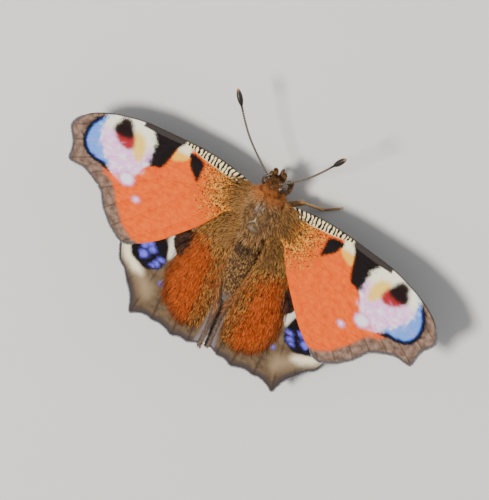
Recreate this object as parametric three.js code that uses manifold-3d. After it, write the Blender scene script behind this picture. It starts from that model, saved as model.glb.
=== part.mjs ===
// A peacock butterfly at rest on flat ground with its wings spread, at life size in millimetres.
// The head looks along -Y, the animal's left is +X and the ground is z = 0.

import * as THREE from 'three';
import { mergeVertices } from 'three/addons/utils/BufferGeometryUtils.js';
import Module from 'manifold-3d';

const wasm = await Module();
wasm.setup();

// All places below are measured from the middle of the thorax at the height of the wing roots.
const GROUND = -6.0;                  // the ground under the feet
const SLIVER = 0.003;                 // edges shorter than this after a cut are merged away
const WELD = 0.065;                   // corners closer than this after a cut become one
const GAP = 0.3;                      // the clear space kept between neighbouring pieces
const BODY_SIDES = 20;

// Thorax
const THORAX_FRONT = -3.5;
const THORAX_BACK = 4.4;
const THORAX_HALF_WIDTH = 2.7;
const THORAX_TOP = 1.9;
const THORAX_BOTTOM = -3.3;

// Abdomen
const ABDOMEN_START = 3.3;
const ABDOMEN_END = 16.4;
const ABDOMEN_RADIUS = 2.0;
const ABDOMEN_START_Z = -0.55;
const ABDOMEN_END_Z = -1.25;
const ABDOMEN_RINGS = 8;
const RING_GROOVE = 0.06;             // share of the radius lost between two rings

// Head and what it carries
const HEAD_CENTRE = new THREE.Vector3(0, -4.7, 0.05);
const HEAD_RADII = new THREE.Vector3(1.45, 1.3, 1.3);
const EYE_OFFSET = new THREE.Vector3(1.42, -0.15, 0.1);
const EYE_RADII = new THREE.Vector3(0.72, 0.9, 1.0);
const PALP_ROOT = new THREE.Vector3(0.75, -5.35, -0.85);
const PALP_TIP = new THREE.Vector3(0.68, -7.1, 0.55);
const PALP_RADIUS = 0.36;
const COIL_CENTRE = new THREE.Vector3(0, -6.35, -1.05);
const COIL_RADIUS = 0.8;
const COIL_TURNS = 1.2;
const TONGUE_RADIUS = 0.25;
const ANTENNA_ROOT = new THREE.Vector3(0.5, -5.0, 0.6);
const ANTENNA_RADIUS = 0.27;
const CLUB_RADIUS = 0.52;
const CLUB_LENGTH = 2.6;
const ANTENNA_REACH = {
  left: new THREE.Vector3(9.6, -10.8, 2.2),
  right: new THREE.Vector3(-8.6, -10.6, 5.0),
};
const ANTENNA_BOW = new THREE.Vector3(0.5, 0.3, 0.5);

// Wings
const MEMBRANE = 0.5;
const VEIN_RIDGE = 0.14;              // how far a vein stands over each face
const VEIN_HALF_WIDTH = 0.34;
const SCALLOP = 0.22;                 // how far the margin draws in between two vein ends
const ROOT_STEPS = 4;                 // rows from the root to the end of the cell
const TIP_STEPS = 6;                  // rows from there to the margin
const FORE_ROOT = new THREE.Vector3(3.36, -0.89, -0.13);
const HIND_ROOT = new THREE.Vector3(3.27, 3.5, -1.12);
const ANAL_FOLD = 0.7;                // how far the hindwing's inner edge curls up by the abdomen
const MIDLINE_CLEARANCE = 0.2;

// How each wing is held, in degrees: turned back, raised at the tip, raised at the rear.
const POSE = {
  forewing_left: { turn: -0.1, rise: 3.2, pitch: 0.9 },
  forewing_right: { turn: 0.7, rise: 6.2, pitch: -0.4 },
  hindwing_left: { turn: 0.4, rise: 2.0, pitch: 2.2 },
  hindwing_right: { turn: -0.4, rise: 1.2, pitch: -1.4 },
};

// A wing is described in its own plane: u points out along the wing, v points to the rear.
// Each vein leaves the root edge, bends at the end of the cell and runs to the margin.
const FOREWING = {
  rootEdge: [[-1.9, -2.0], [-1.6, 1.9]],
  front: [[0.2, -2.1], [4.9, -3.05], [8.4, -3.2], [12.2, -3.0], [17.8, -2.6], [23.8, -1.1], [26.3, 0.3]],
  frontEnd: [27.7, 1.6],
  veins: [
    { name: 'radius one', knee: [12.0, -1.9], end: [28.6, 3.1], stem: true },
    { name: 'radius five', knee: [13.2, -0.6], end: [27.7, 5.3], stem: true },
    { name: 'media one', knee: [13.7, 0.7], end: [27.0, 8.3], stem: false },
    { name: 'media two', knee: [13.7, 2.1], end: [23.2, 9.05], stem: false },
    { name: 'media three', knee: [12.5, 4.1], end: [20.9, 10.4], stem: true },
    { name: 'cubitus one', knee: [10.3, 4.1], end: [19.0, 12.7], stem: false },
    { name: 'cubitus two', knee: [6.8, 3.6], end: [16.9, 15.0], stem: false },
    { name: 'anal vein', knee: [6.2, 6.9], end: [14.6, 16.2], stem: true },
  ],
  back: [[1.2, 2.9], [2.9, 5.7], [4.6, 8.1], [6.65, 10.5], [9.0, 13.1], [11.7, 15.1]],
  backEnd: [12.9, 15.95],
  kneeShare: 0.45,
  crossVein: [2, 5],
  fold: 0,
};
const HINDWING = {
  rootEdge: [[-2.2, -1.3], [-2.2, 2.4]],
  front: [[0.0, -1.4], [4.0, -1.5], [8.5, 0.7], [12.3, 4.6], [14.5, 8.2]],
  frontEnd: [15.15, 10.6],
  veins: [
    { name: 'radial sector', knee: [6.9, 2.5], end: [14.95, 12.9], stem: true },
    { name: 'media one', knee: [7.5, 3.9], end: [13.85, 15.2], stem: false },
    { name: 'media two', knee: [7.4, 5.6], end: [11.5, 17.9], stem: false },
    { name: 'media three', knee: [6.3, 7.2], end: [9.35, 22.0], stem: true },
    { name: 'cubitus one', knee: [4.8, 7.1], end: [5.6, 21.3], stem: false },
    { name: 'cubitus two', knee: [2.8, 6.3], end: [1.7, 21.85], stem: false },
    { name: 'anal vein', knee: [0.9, 7.2], end: [-1.0, 21.5], stem: true },
  ],
  back: [[-1.3, 4.2], [-1.3, 7.6], [-1.65, 10.4], [-2.25, 12.8], [-2.9, 16.3], [-3.05, 18.9]],
  backEnd: [-2.95, 20.7],
  kneeShare: 0.4,
  crossVein: [2, 4],
  fold: ANAL_FOLD,
};

// Legs: the joints of a left leg, from the hip over the knee and heel to the toes
const FEMUR_RADIUS = 0.38;
const TIBIA_RADIUS = 0.3;
const TARSUS_RADIUS = 0.27;
const TARSUS_LIFT = 0.2;              // height of the foot's middle line over the ground
const TARSUS_TRIM = 0.22;             // how far the foot starts in front of the heel
const LEGS = {
  midleg_right: {
    hip: [1.0, -0.7, -2.3], knee: [4.4, -3.4, -2.5], heel: [6.9, -2.7, -5.6], toe: [9.2, -4.3, -5.8],
  },
  midleg_left: {
    hip: [1.0, -0.7, -2.3], knee: [4.3, -1.3, -2.8], heel: [6.8, 0.7, -5.6], toe: [9.7, 0.9, -5.8],
  },
  hindleg: { hip: [1.0, 1.8, -2.3], knee: [4.1, 5.4, -2.75], heel: [6.2, 9.3, -5.6], toe: [7.6, 12.8, -5.8] },
};
const FORELEG = [[0.9, -2.5, -1.6], [1.65, -3.7, -2.5], [1.7, -4.9, -2.7], [1.45, -5.2, -1.9]];
const FORELEG_RADIUS = 0.33;

const MATERIALS = {
  fur: { color: 0x8a6a45, roughness: 0.9, metalness: 0 },
  wing: { color: 0xd9622c, roughness: 0.7, metalness: 0 },
  hindwing: { color: 0xb85a34, roughness: 0.75, metalness: 0 },
  eye: { color: 0x2a1a14, roughness: 0.25, metalness: 0 },
  limb: { color: 0x7a5a3c, roughness: 0.6, metalness: 0 },
  antenna: { color: 0x33261e, roughness: 0.6, metalness: 0 },
};

const group = new THREE.Group();

function addNode(name, geometry, look) {
  const mesh = new THREE.Mesh(geometry, new THREE.MeshStandardMaterial(MATERIALS[look]));
  mesh.name = name;
  group.add(mesh);
}

// Joining and cutting

function toSolid(geometry) {
  const bare = geometry.clone();
  bare.deleteAttribute('normal');
  bare.deleteAttribute('uv');
  const merged = mergeVertices(bare, 1e-4);
  return new wasm.Manifold(new wasm.Mesh({
    numProp: 3,
    vertProperties: new Float32Array(merged.attributes.position.array),
    triVerts: new Uint32Array(merged.index.array),
  }));
}

function toGeometry(solid) {
  const mesh = solid.getMesh();
  const geometry = new THREE.BufferGeometry();
  geometry.setAttribute('position', new THREE.BufferAttribute(new Float32Array(mesh.vertProperties), 3));
  geometry.setIndex(new THREE.BufferAttribute(new Uint32Array(mesh.triVerts), 1));
  geometry.computeVertexNormals();
  return geometry;
}

// Draws corners closer than the weld distance into one and drops the faces that vanish with them.
function weldCorners(geometry) {
  const place = geometry.attributes.position;
  const at = (vertex) => new THREE.Vector3().fromBufferAttribute(place, vertex);
  const kept = [];
  const standsFor = [];
  for (let vertex = 0; vertex < place.count; vertex += 1) {
    const near = kept.find((other) => at(other).distanceTo(at(vertex)) < WELD);
    if (near === undefined) {
      kept.push(vertex);
    }
    standsFor.push(near === undefined ? vertex : near);
  }
  const index = [];
  for (let i = 0; i < geometry.index.count; i += 3) {
    const face = [0, 1, 2].map((corner) => standsFor[geometry.index.getX(i + corner)]);
    if (new Set(face).size === 3) {
      index.push(...face);
    }
  }
  geometry.setIndex(index);
  return toGeometry(toSolid(geometry));
}

// Takes the cutters out of a piece, keeps the largest body that is left and drops its slivers.
function cutClear(geometry, cutters) {
  let solid = toSolid(geometry);
  for (const cutter of cutters) {
    solid = solid.subtract(toSolid(cutter));
  }
  const bodies = solid.decompose();
  bodies.sort((a, b) => b.volume() - a.volume());
  return weldCorners(toGeometry(bodies[0].asOriginal().simplify(SLIVER)));
}

// Round bodies

// Closes rings of points into a skin, with one point at each end.
function skinRings(rings, first, last) {
  const sides = rings[0].length;
  const points = [first, ...rings.flat(), last];
  const faces = [];
  const at = (ring, side) => 1 + ring * sides + (side % sides);
  for (let side = 0; side < sides; side += 1) {
    faces.push(0, at(0, side + 1), at(0, side));
    faces.push(points.length - 1, at(rings.length - 1, side), at(rings.length - 1, side + 1));
    for (let ring = 0; ring < rings.length - 1; ring += 1) {
      faces.push(at(ring, side), at(ring, side + 1), at(ring + 1, side + 1));
      faces.push(at(ring, side), at(ring + 1, side + 1), at(ring + 1, side));
    }
  }
  const geometry = new THREE.BufferGeometry().setFromPoints(points);
  geometry.setIndex(faces);
  geometry.computeVertexNormals();
  return geometry;
}

// A body along Y whose section at each station is an ellipse. shape(t) gives its centre and half sizes.
function bodyAlongY(start, end, stations, grow, shape) {
  const rings = [];
  const length = end - start;
  for (let i = 1; i < stations; i += 1) {
    const t = (1 - Math.cos((Math.PI * i) / stations)) / 2;
    const section = shape(t);
    const y = start - grow + (length + 2 * grow) * t;
    const ring = [];
    for (let side = 0; side < BODY_SIDES; side += 1) {
      const angle = (2 * Math.PI * side) / BODY_SIDES;
      const x = (section.halfWidth + grow) * Math.cos(angle);
      ring.push(new THREE.Vector3(x, y, section.z + (section.halfHeight + grow) * Math.sin(angle)));
    }
    rings.push(ring);
  }
  const first = new THREE.Vector3(0, start - grow, shape(0).z);
  const last = new THREE.Vector3(0, end + grow, shape(1).z);
  return outward(skinRings(rings, first, last));
}

function thoraxShape(grow = 0) {
  return bodyAlongY(THORAX_FRONT, THORAX_BACK, 18, grow, (t) => {
    const swell = Math.pow(1 - Math.pow(Math.abs(2 * t - 1), 2.5), 0.5);
    return {
      z: (THORAX_TOP + THORAX_BOTTOM) / 2 + 0.25 * Math.sin(Math.PI * t),
      halfWidth: THORAX_HALF_WIDTH * swell,
      halfHeight: ((THORAX_TOP - THORAX_BOTTOM) / 2) * swell,
    };
  });
}

function abdomenShape(grow = 0) {
  return bodyAlongY(ABDOMEN_START, ABDOMEN_END, 30, grow, (t) => {
    const groove = 1 - RING_GROOVE * Math.pow(Math.abs(Math.cos(Math.PI * ABDOMEN_RINGS * t)), 6);
    const taper = Math.pow(Math.sin(Math.PI * Math.pow(t, 0.8)), 0.55) * (1 - 0.42 * t * t);
    const radius = Math.max(ABDOMEN_RADIUS * taper * groove, 0.02);
    return {
      z: ABDOMEN_START_Z + (ABDOMEN_END_Z - ABDOMEN_START_Z) * t,
      halfWidth: radius,
      halfHeight: radius * 0.95,
    };
  });
}

function ellipsoid(centre, radii, grow = 0) {
  const geometry = new THREE.SphereGeometry(1, 20, 14);
  geometry.scale(radii.x + grow, radii.y + grow, radii.z + grow);
  geometry.translate(centre.x, centre.y, centre.z);
  return geometry;
}

// A round limb along a curve, with a radius for each share of its length and rounded ends.
function limb(curve, radiusAt, steps, sides = 8) {
  const frames = curve.computeFrenetFrames(steps, false);
  const rings = [];
  for (let i = 0; i <= steps; i += 1) {
    const centre = curve.getPointAt(i / steps);
    const radius = radiusAt(i / steps);
    const ring = [];
    for (let side = 0; side < sides; side += 1) {
      const angle = (2 * Math.PI * side) / sides;
      ring.push(centre.clone()
        .addScaledVector(frames.normals[i], radius * Math.cos(angle))
        .addScaledVector(frames.binormals[i], radius * Math.sin(angle)));
    }
    rings.push(ring);
  }
  const first = curve.getPointAt(0).addScaledVector(frames.tangents[0], -0.5 * radiusAt(0));
  const last = curve.getPointAt(1).addScaledVector(frames.tangents[steps], 0.5 * radiusAt(1));
  return outward(skinRings(rings, first, last));
}

function signedVolume(geometry) {
  const position = geometry.attributes.position;
  const index = geometry.index;
  const corner = [new THREE.Vector3(), new THREE.Vector3(), new THREE.Vector3()];
  let volume = 0;
  for (let i = 0; i < index.count; i += 3) {
    corner.forEach((point, k) => point.fromBufferAttribute(position, index.getX(i + k)));
    volume += corner[0].dot(corner[1].clone().cross(corner[2])) / 6;
  }
  return volume;
}

// Turns the faces round if they point inward.
function outward(geometry) {
  if (signedVolume(geometry) < 0) {
    const faces = geometry.index.array;
    for (let i = 0; i < faces.length; i += 3) {
      const second = faces[i + 1];
      faces[i + 1] = faces[i + 2];
      faces[i + 2] = second;
    }
    geometry.computeVertexNormals();
  }
  return geometry;
}

// Wings

function curveThrough(points) {
  return new THREE.CatmullRomCurve3(points.map(([u, v]) => new THREE.Vector3(u, v, 0)), false, 'centripetal');
}

// Points down one edge of the wing, in as many rows as the veins have.
function edgeRay(root, via, end, kneeShare) {
  const curve = curveThrough([root, ...via, end]);
  const ray = [];
  for (let row = 0; row <= ROOT_STEPS + TIP_STEPS; row += 1) {
    const share = row <= ROOT_STEPS
      ? (kneeShare * row) / ROOT_STEPS
      : kneeShare + ((1 - kneeShare) * (row - ROOT_STEPS)) / TIP_STEPS;
    const point = curve.getPointAt(share);
    ray.push(new THREE.Vector2(point.x, point.y));
  }
  return ray;
}

function veinRay(root, knee, end) {
  const ray = [];
  for (let row = 0; row <= ROOT_STEPS + TIP_STEPS; row += 1) {
    if (row <= ROOT_STEPS) {
      ray.push(root.clone().lerp(knee, row / ROOT_STEPS));
    } else {
      ray.push(knee.clone().lerp(end, (row - ROOT_STEPS) / TIP_STEPS));
    }
  }
  return ray;
}

// The main rays of a wing, front edge first, each with the rows where it stands up as a vein.
function mainRays(wing) {
  const rootFront = new THREE.Vector2(...wing.rootEdge[0]);
  const rootBack = new THREE.Vector2(...wing.rootEdge[1]);
  const count = wing.veins.length;
  const rays = [{ points: edgeRay(wing.rootEdge[0], wing.front, wing.frontEnd, wing.kneeShare), from: 0 }];
  wing.veins.forEach((vein, i) => {
    const root = rootFront.clone().lerp(rootBack, (i + 1) / (count + 1));
    const points = veinRay(root, new THREE.Vector2(...vein.knee), new THREE.Vector2(...vein.end));
    rays.push({ points, from: vein.stem ? 0 : ROOT_STEPS });
  });
  rays.push({ points: edgeRay(wing.rootEdge[1], wing.back, wing.backEnd, wing.kneeShare), from: Infinity });
  return rays;
}

// All rays of a wing: each vein has a foot on both sides, and one ray runs between two veins.
function allRays(wing) {
  const main = mainRays(wing);
  const rays = [];
  main.forEach((ray, i) => {
    const isCross = (k) => k >= wing.crossVein[0] && k < wing.crossVein[1];
    const raised = ray.points.map((_, row) => row >= ray.from || (row === ROOT_STEPS && isCross(i)));
    rays.push({ points: ray.points, raised });
    if (i + 1 === main.length) {
      return;
    }
    const next = main[i + 1].points;
    const cross = ray.points.map((_, row) => row === ROOT_STEPS && isCross(i));
    for (const place of ['foot', 'middle', 'farFoot']) {
      const points = ray.points.map((point, row) => {
        const width = point.distanceTo(next[row]);
        const foot = Math.min(VEIN_HALF_WIDTH / Math.max(width, 1e-6), 0.3);
        const share = { foot, middle: 0.5, farFoot: 1 - foot }[place];
        const between = point.clone().lerp(next[row], share);
        const atMargin = row === ray.points.length - 1 && place === 'middle';
        const inward = between.clone().normalize().multiplyScalar(Math.min(SCALLOP, 0.07 * width));
        return atMargin ? between.sub(inward) : between;
      });
      rays.push({ points, raised: cross });
    }
  });
  return rays;
}

// Lifts a point of the wing's plane to its place over the ground. side is 1 for left and -1 for right.
function placeOnWing(point, height, root, pose, side) {
  const turn = THREE.MathUtils.degToRad(pose.turn);
  const rise = THREE.MathUtils.degToRad(pose.rise);
  const pitch = THREE.MathUtils.degToRad(pose.pitch);
  const out = point.x * Math.cos(turn) - point.y * Math.sin(turn);
  const rear = point.x * Math.sin(turn) + point.y * Math.cos(turn);
  const z = root.z + out * Math.tan(rise) + rear * Math.tan(pitch) + height;
  const x = Math.max(root.x + out * Math.cos(rise), MIDLINE_CLEARANCE);
  return new THREE.Vector3(side * x, root.y + rear * Math.cos(pitch), z);
}

function wingGeometry(wing, root, pose, side) {
  const rays = allRays(wing);
  const rows = rays[0].points.length;
  const top = [];
  const bottom = [];
  rays.forEach((ray, i) => {
    const nearInner = Math.max(0, 1 - (rays.length - 1 - i) / 4);
    ray.points.forEach((point, row) => {
      const half = MEMBRANE / 2 + (ray.raised[row] ? VEIN_RIDGE : 0);
      const curl = wing.fold * nearInner * nearInner * Math.sin((Math.PI * row) / (rows - 1));
      top.push(placeOnWing(point, curl + half, root, pose, side));
      bottom.push(placeOnWing(point, curl - half, root, pose, side));
    });
  });
  const faces = [];
  const under = top.length;
  const at = (ray, row) => ray * rows + row;
  const wall = (a, b) => faces.push(a, b, b + under, a, b + under, a + under);
  for (let i = 0; i < rays.length - 1; i += 1) {
    for (let row = 0; row < rows - 1; row += 1) {
      const [a, b, c, d] = [at(i, row), at(i, row + 1), at(i + 1, row + 1), at(i + 1, row)];
      faces.push(a, c, b, a, d, c);
      faces.push(a + under, b + under, c + under, a + under, c + under, d + under);
    }
    wall(at(i + 1, 0), at(i, 0));
    wall(at(i, rows - 1), at(i + 1, rows - 1));
  }
  for (let row = 0; row < rows - 1; row += 1) {
    wall(at(0, row), at(0, row + 1));
    wall(at(rays.length - 1, row + 1), at(rays.length - 1, row));
  }
  const geometry = new THREE.BufferGeometry().setFromPoints([...top, ...bottom]);
  geometry.setIndex(faces);
  geometry.computeVertexNormals();
  return outward(geometry);
}

// Head pieces

function antenna(side) {
  const reach = side > 0 ? ANTENNA_REACH.left : ANTENNA_REACH.right;
  const start = new THREE.Vector3(side * ANTENNA_ROOT.x, ANTENNA_ROOT.y, ANTENNA_ROOT.z);
  const end = start.clone().add(reach);
  const middle = start.clone().lerp(end, 0.5);
  middle.add(new THREE.Vector3(side * ANTENNA_BOW.x, ANTENNA_BOW.y, ANTENNA_BOW.z));
  const curve = new THREE.CatmullRomCurve3([start, middle, end]);
  const clubShare = CLUB_LENGTH / reach.length();
  return limb(curve, (t) => {
    const club = THREE.MathUtils.clamp((t - 1 + clubShare) / clubShare, 0, 1);
    const swell = Math.sin(Math.PI * Math.pow(club, 0.8) * 0.86);
    return ANTENNA_RADIUS + (CLUB_RADIUS - ANTENNA_RADIUS) * Math.max(swell, 0) - 0.12 * Math.pow(club, 8);
  }, 28);
}

function palp(side) {
  const root = new THREE.Vector3(side * PALP_ROOT.x, PALP_ROOT.y, PALP_ROOT.z);
  const tip = new THREE.Vector3(side * PALP_TIP.x, PALP_TIP.y, PALP_TIP.z);
  const middle = root.clone().lerp(tip, 0.5).add(new THREE.Vector3(0, -0.25, -0.2));
  const curve = new THREE.CatmullRomCurve3([root, middle, tip]);
  return limb(curve, (t) => PALP_RADIUS * (0.85 + 0.5 * t - 1.05 * t * t), 8);
}

function coiledTongue() {
  const points = [];
  const steps = 22;
  for (let i = 0; i <= steps; i += 1) {
    const angle = Math.PI * 0.5 + (2 * Math.PI * COIL_TURNS * i) / steps;
    const radius = COIL_RADIUS - (COIL_RADIUS - TONGUE_RADIUS) * (i / steps);
    points.push(new THREE.Vector3(
      0,
      COIL_CENTRE.y + radius * Math.sin(angle),
      COIL_CENTRE.z + radius * Math.cos(angle),
    ));
  }
  return limb(new THREE.CatmullRomCurve3(points), () => TONGUE_RADIUS, 30);
}

// Legs

// A straight leg segment between two joints, drawn back at both ends by half the gap.
function segment(from, to, startRadius, endRadius, trimStart, trimEnd) {
  const direction = to.clone().sub(from).normalize();
  const start = from.clone().addScaledVector(direction, trimStart);
  const end = to.clone().addScaledVector(direction, -trimEnd);
  const curve = new THREE.LineCurve3(start, end);
  return limb(curve, (t) => startRadius + (endRadius - startRadius) * t, 3, 10);
}

// A foot lies on the ground: its underside is cut level at the height of the ground.
function foot(heel, toe) {
  const along = segment(heel, toe, TARSUS_RADIUS, TARSUS_RADIUS * 0.95, TARSUS_TRIM, 0);
  const below = new THREE.BoxGeometry(40, 60, 4);
  below.translate(0, 0, GROUND - 2);
  return cutClear(along, [below]);
}

function addLeg(name, joints, side, bodyCut) {
  const [hip, knee, heel, toe] = [joints.hip, joints.knee, joints.heel, joints.toe]
    .map(([x, y, z]) => new THREE.Vector3(side * x, y, z));
  const sideName = side > 0 ? 'left' : 'right';
  const footStart = new THREE.Vector3(heel.x, heel.y, GROUND + TARSUS_LIFT);
  const footEnd = new THREE.Vector3(toe.x, toe.y, GROUND + TARSUS_LIFT);
  const kneeTrim = GAP / 2 + FEMUR_RADIUS * 0.5;
  const heelTrim = GAP / 2 + TIBIA_RADIUS * 0.5;
  const femur = segment(hip, knee, FEMUR_RADIUS, FEMUR_RADIUS * 0.85, 0, kneeTrim);
  const tibia = segment(knee, heel, TIBIA_RADIUS, TIBIA_RADIUS * 0.9, kneeTrim, heelTrim);
  addNode(`${name}_${sideName}_femur`, cutClear(femur, [bodyCut]), 'limb');
  addNode(`${name}_${sideName}_tibia`, tibia, 'limb');
  addNode(`${name}_${sideName}_tarsus`, foot(footStart, footEnd), 'limb');
}

function foreleg(side) {
  const points = FORELEG.map(([x, y, z]) => new THREE.Vector3(side * x, y, z));
  return limb(new THREE.CatmullRomCurve3(points), (t) => FORELEG_RADIUS * (1 - 0.22 * t), 10);
}

// The whole animal

const thorax = thoraxShape();
const thoraxCut = thoraxShape(GAP);
const abdomenCut = abdomenShape(GAP);
const headCut = ellipsoid(HEAD_CENTRE, HEAD_RADII, GAP);

addNode('thorax', thorax, 'fur');
addNode('abdomen', cutClear(abdomenShape(), [thoraxCut]), 'fur');

function eyeCentre(side) {
  return new THREE.Vector3(side * EYE_OFFSET.x, EYE_OFFSET.y, EYE_OFFSET.z).add(HEAD_CENTRE);
}

const eyeCuts = [1, -1].map((side) => ellipsoid(eyeCentre(side), EYE_RADII, GAP * 0.8));
addNode('head', cutClear(ellipsoid(HEAD_CENTRE, HEAD_RADII), [thoraxCut, ...eyeCuts]), 'fur');
addNode('proboscis', cutClear(coiledTongue(), [headCut]), 'limb');

for (const side of [1, -1]) {
  const sideName = side > 0 ? 'left' : 'right';
  addNode(`eye_${sideName}`, cutClear(ellipsoid(eyeCentre(side), EYE_RADII), [thoraxCut]), 'eye');
  addNode(`palp_${sideName}`, cutClear(palp(side), [headCut]), 'fur');
  addNode(`antenna_${sideName}`, cutClear(antenna(side), [headCut]), 'antenna');
  addNode(`foreleg_${sideName}`, cutClear(foreleg(side), [thoraxCut]), 'limb');
  addLeg('midleg', LEGS[`midleg_${sideName}`], side, thoraxCut);
  addLeg('hindleg', LEGS.hindleg, side, thoraxCut);
  const fore = wingGeometry(FOREWING, FORE_ROOT, POSE[`forewing_${sideName}`], side);
  const hind = wingGeometry(HINDWING, HIND_ROOT, POSE[`hindwing_${sideName}`], side);
  addNode(`forewing_${sideName}`, cutClear(fore, [thoraxCut]), 'wing');
  addNode(`hindwing_${sideName}`, cutClear(hind, [thoraxCut, abdomenCut]), 'hindwing');
}

// The feet rest on z = 0 and the middle of the outline is over the origin.
const outline = new THREE.Box3().setFromObject(group);
const centre = outline.getCenter(new THREE.Vector3());
group.position.set(-centre.x, -centre.y, -GROUND);
group.updateMatrixWorld(true);

export default group;
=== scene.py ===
"""A peacock butterfly basking on the ground, dressed over its solids, life size in metres."""

import math

import bpy
import numpy as np
from mathutils import Matrix, Vector


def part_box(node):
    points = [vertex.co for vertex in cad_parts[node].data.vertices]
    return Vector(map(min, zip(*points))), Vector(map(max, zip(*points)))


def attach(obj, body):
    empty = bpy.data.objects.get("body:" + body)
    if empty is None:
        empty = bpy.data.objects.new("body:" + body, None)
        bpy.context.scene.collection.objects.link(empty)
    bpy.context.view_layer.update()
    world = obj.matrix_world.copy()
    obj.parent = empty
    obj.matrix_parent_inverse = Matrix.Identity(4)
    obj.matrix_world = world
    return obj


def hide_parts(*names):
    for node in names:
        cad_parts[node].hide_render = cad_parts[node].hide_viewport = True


bl_info = {
    "name": "Peacock Butterfly",
    "version": (1, 0, 0),
    "blender": (4, 5, 0),
    "location": "View3D > Sidebar > Butterfly",
    "description": "Wings, coat, head and legs of a basking peacock butterfly",
    "category": "Add Mesh",
}

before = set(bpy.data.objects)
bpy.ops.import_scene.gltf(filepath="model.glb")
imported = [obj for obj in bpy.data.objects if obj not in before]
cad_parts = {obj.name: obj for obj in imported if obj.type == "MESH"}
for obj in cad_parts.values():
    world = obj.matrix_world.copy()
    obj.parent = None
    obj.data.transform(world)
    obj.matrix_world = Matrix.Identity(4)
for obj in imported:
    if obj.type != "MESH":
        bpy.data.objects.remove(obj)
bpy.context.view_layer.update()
BODY = "root"
MM = 0.001

# Places are given in millimetres from the middle of the thorax at the height of the wing roots:
# x to the animal's left, y to its rear, z up.
THORAX_LOW, THORAX_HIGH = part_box("thorax")
THORAX_MIDDLE_Y = 0.45
GROUND = -6.0
HOME = Vector((
    (THORAX_LOW.x + THORAX_HIGH.x) / 2,
    (THORAX_LOW.y + THORAX_HIGH.y) / 2 - THORAX_MIDDLE_Y * MM,
    -GROUND * MM,
))
HOME_ROW = np.array(HOME)


def srgb(red, green, blue):
    """A colour as seen on a screen, 0 to 255, in the linear values that shaders take."""
    def linear(value):
        value /= 255
        return value / 12.92 if value <= 0.04045 else ((value + 0.055) / 1.055) ** 2.4
    return (linear(red), linear(green), linear(blue), 1.0)


# Wings, in each wing's own plane: u out along the wing, v to the rear, in millimetres.
WINGS = {
    "forewing": {
        "root": (3.36, -0.89, -0.13),
        "root_edge": [(-1.9, -2.0), (-2.0, 3.0)],
        "front": [
            (-1.9, -2.0), (0.2, -2.1), (1.6, -2.5), (4.9, -3.05), (8.4, -3.22), (12.2, -3.05),
            (17.8, -2.65), (21.0, -1.95), (23.8, -1.05), (26.3, 0.25), (27.6, 1.4),
        ],
        "margin": [
            (27.6, 1.4), (28.35, 2.4), (28.65, 3.4), (28.3, 4.4), (27.55, 5.5), (27.2, 6.9), (27.0, 8.45),
            (26.0, 8.7), (24.6, 8.65), (23.2, 9.05), (22.2, 9.6), (21.2, 10.1), (20.4, 10.75), (19.8, 11.8),
            (19.05, 12.95), (18.25, 13.8), (17.35, 14.7), (16.5, 15.3), (15.5, 16.0), (14.5, 16.35),
            (13.4, 16.25), (12.6, 15.75),
        ],
        "back": [
            (-2.0, 3.0), (1.3, 3.5), (2.9, 5.7), (4.6, 8.1), (6.65, 10.5), (9.0, 13.1), (11.3, 15.0),
            (12.6, 15.75),
        ],
        "veins": [
            [(-1.6, -1.3), (6.0, -2.3), (12.0, -2.35), (18.6, -1.9)],
            [(-1.6, -1.0), (6.0, -1.75), (13.0, -1.3), (20.5, -0.6), (28.4, 3.2)],
            [(13.0, -1.3), (15.0, 0.0), (20.0, 1.9), (27.6, 5.4)],
            [(14.0, 0.6), (18.0, 3.2), (27.0, 8.35)],
            [(13.9, 1.9), (17.4, 4.8), (23.2, 9.0)],
            [(12.6, 4.0), (16.6, 7.1), (20.8, 10.4)],
            [(-1.5, 0.4), (4.5, 1.5), (9.0, 2.9), (12.6, 4.0), (13.9, 1.9), (14.0, 0.6), (13.2, -1.2)],
            [(10.2, 3.35), (13.4, 7.0), (19.0, 12.8)],
            [(6.6, 2.2), (10.4, 7.4), (16.9, 15.0)],
            [(-1.5, 0.9), (3.4, 4.2), (8.6, 10.4), (14.3, 16.2)],
        ],
        "vein_height": 0.05,
    },
    "hindwing": {
        "root": (3.27, 3.5, -1.12),
        "root_edge": [(-2.4, -2.4), (-2.4, 2.4)],
        "front": [
            (-2.4, -2.4), (0.0, -2.2), (4.0, -1.5), (8.5, 0.7), (12.3, 4.6), (14.5, 8.2), (15.2, 10.6),
        ],
        "margin": [
            (15.2, 10.6), (15.1, 11.9), (14.85, 13.0), (14.5, 14.2), (13.9, 15.2), (13.0, 15.9),
            (12.2, 16.9), (11.3, 18.1), (10.35, 19.4), (9.85, 20.6), (9.5, 21.75), (9.15, 22.0),
            (8.3, 21.55), (7.2, 21.15), (6.3, 21.1), (5.4, 21.25), (4.4, 21.15), (3.3, 21.35), (1.8, 21.85),
            (0.6, 21.45), (-0.8, 21.5), (-2.0, 21.0), (-3.05, 20.75),
        ],
        "back": [
            (-2.4, 2.4), (-1.4, 4.2), (-1.5, 7.6), (-1.95, 10.4), (-2.7, 12.8), (-3.05, 15.0),
            (-3.12, 18.9), (-3.05, 20.75),
        ],
        "veins": [
            [(-1.0, -0.4), (4.0, 0.4), (9.0, 4.6), (14.9, 12.8)],
            [(-1.0, 0.0), (4.5, 1.9), (7.4, 4.2), (10.6, 9.4), (13.8, 15.1)],
            [(7.4, 4.2), (7.5, 5.8), (9.4, 11.2), (11.6, 17.8)],
            [(-1.0, 0.6), (3.0, 3.6), (6.2, 7.2), (7.6, 12.4), (9.25, 21.9)],
            [(5.0, 5.8), (5.6, 12.0), (5.6, 21.2)],
            [(2.9, 3.6), (3.0, 10.0), (1.7, 21.8)],
            [(-1.2, 1.4), (0.2, 6.4), (-0.2, 13.0), (-1.0, 21.4)],
        ],
        "vein_height": 0.045,
    },
}
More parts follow.
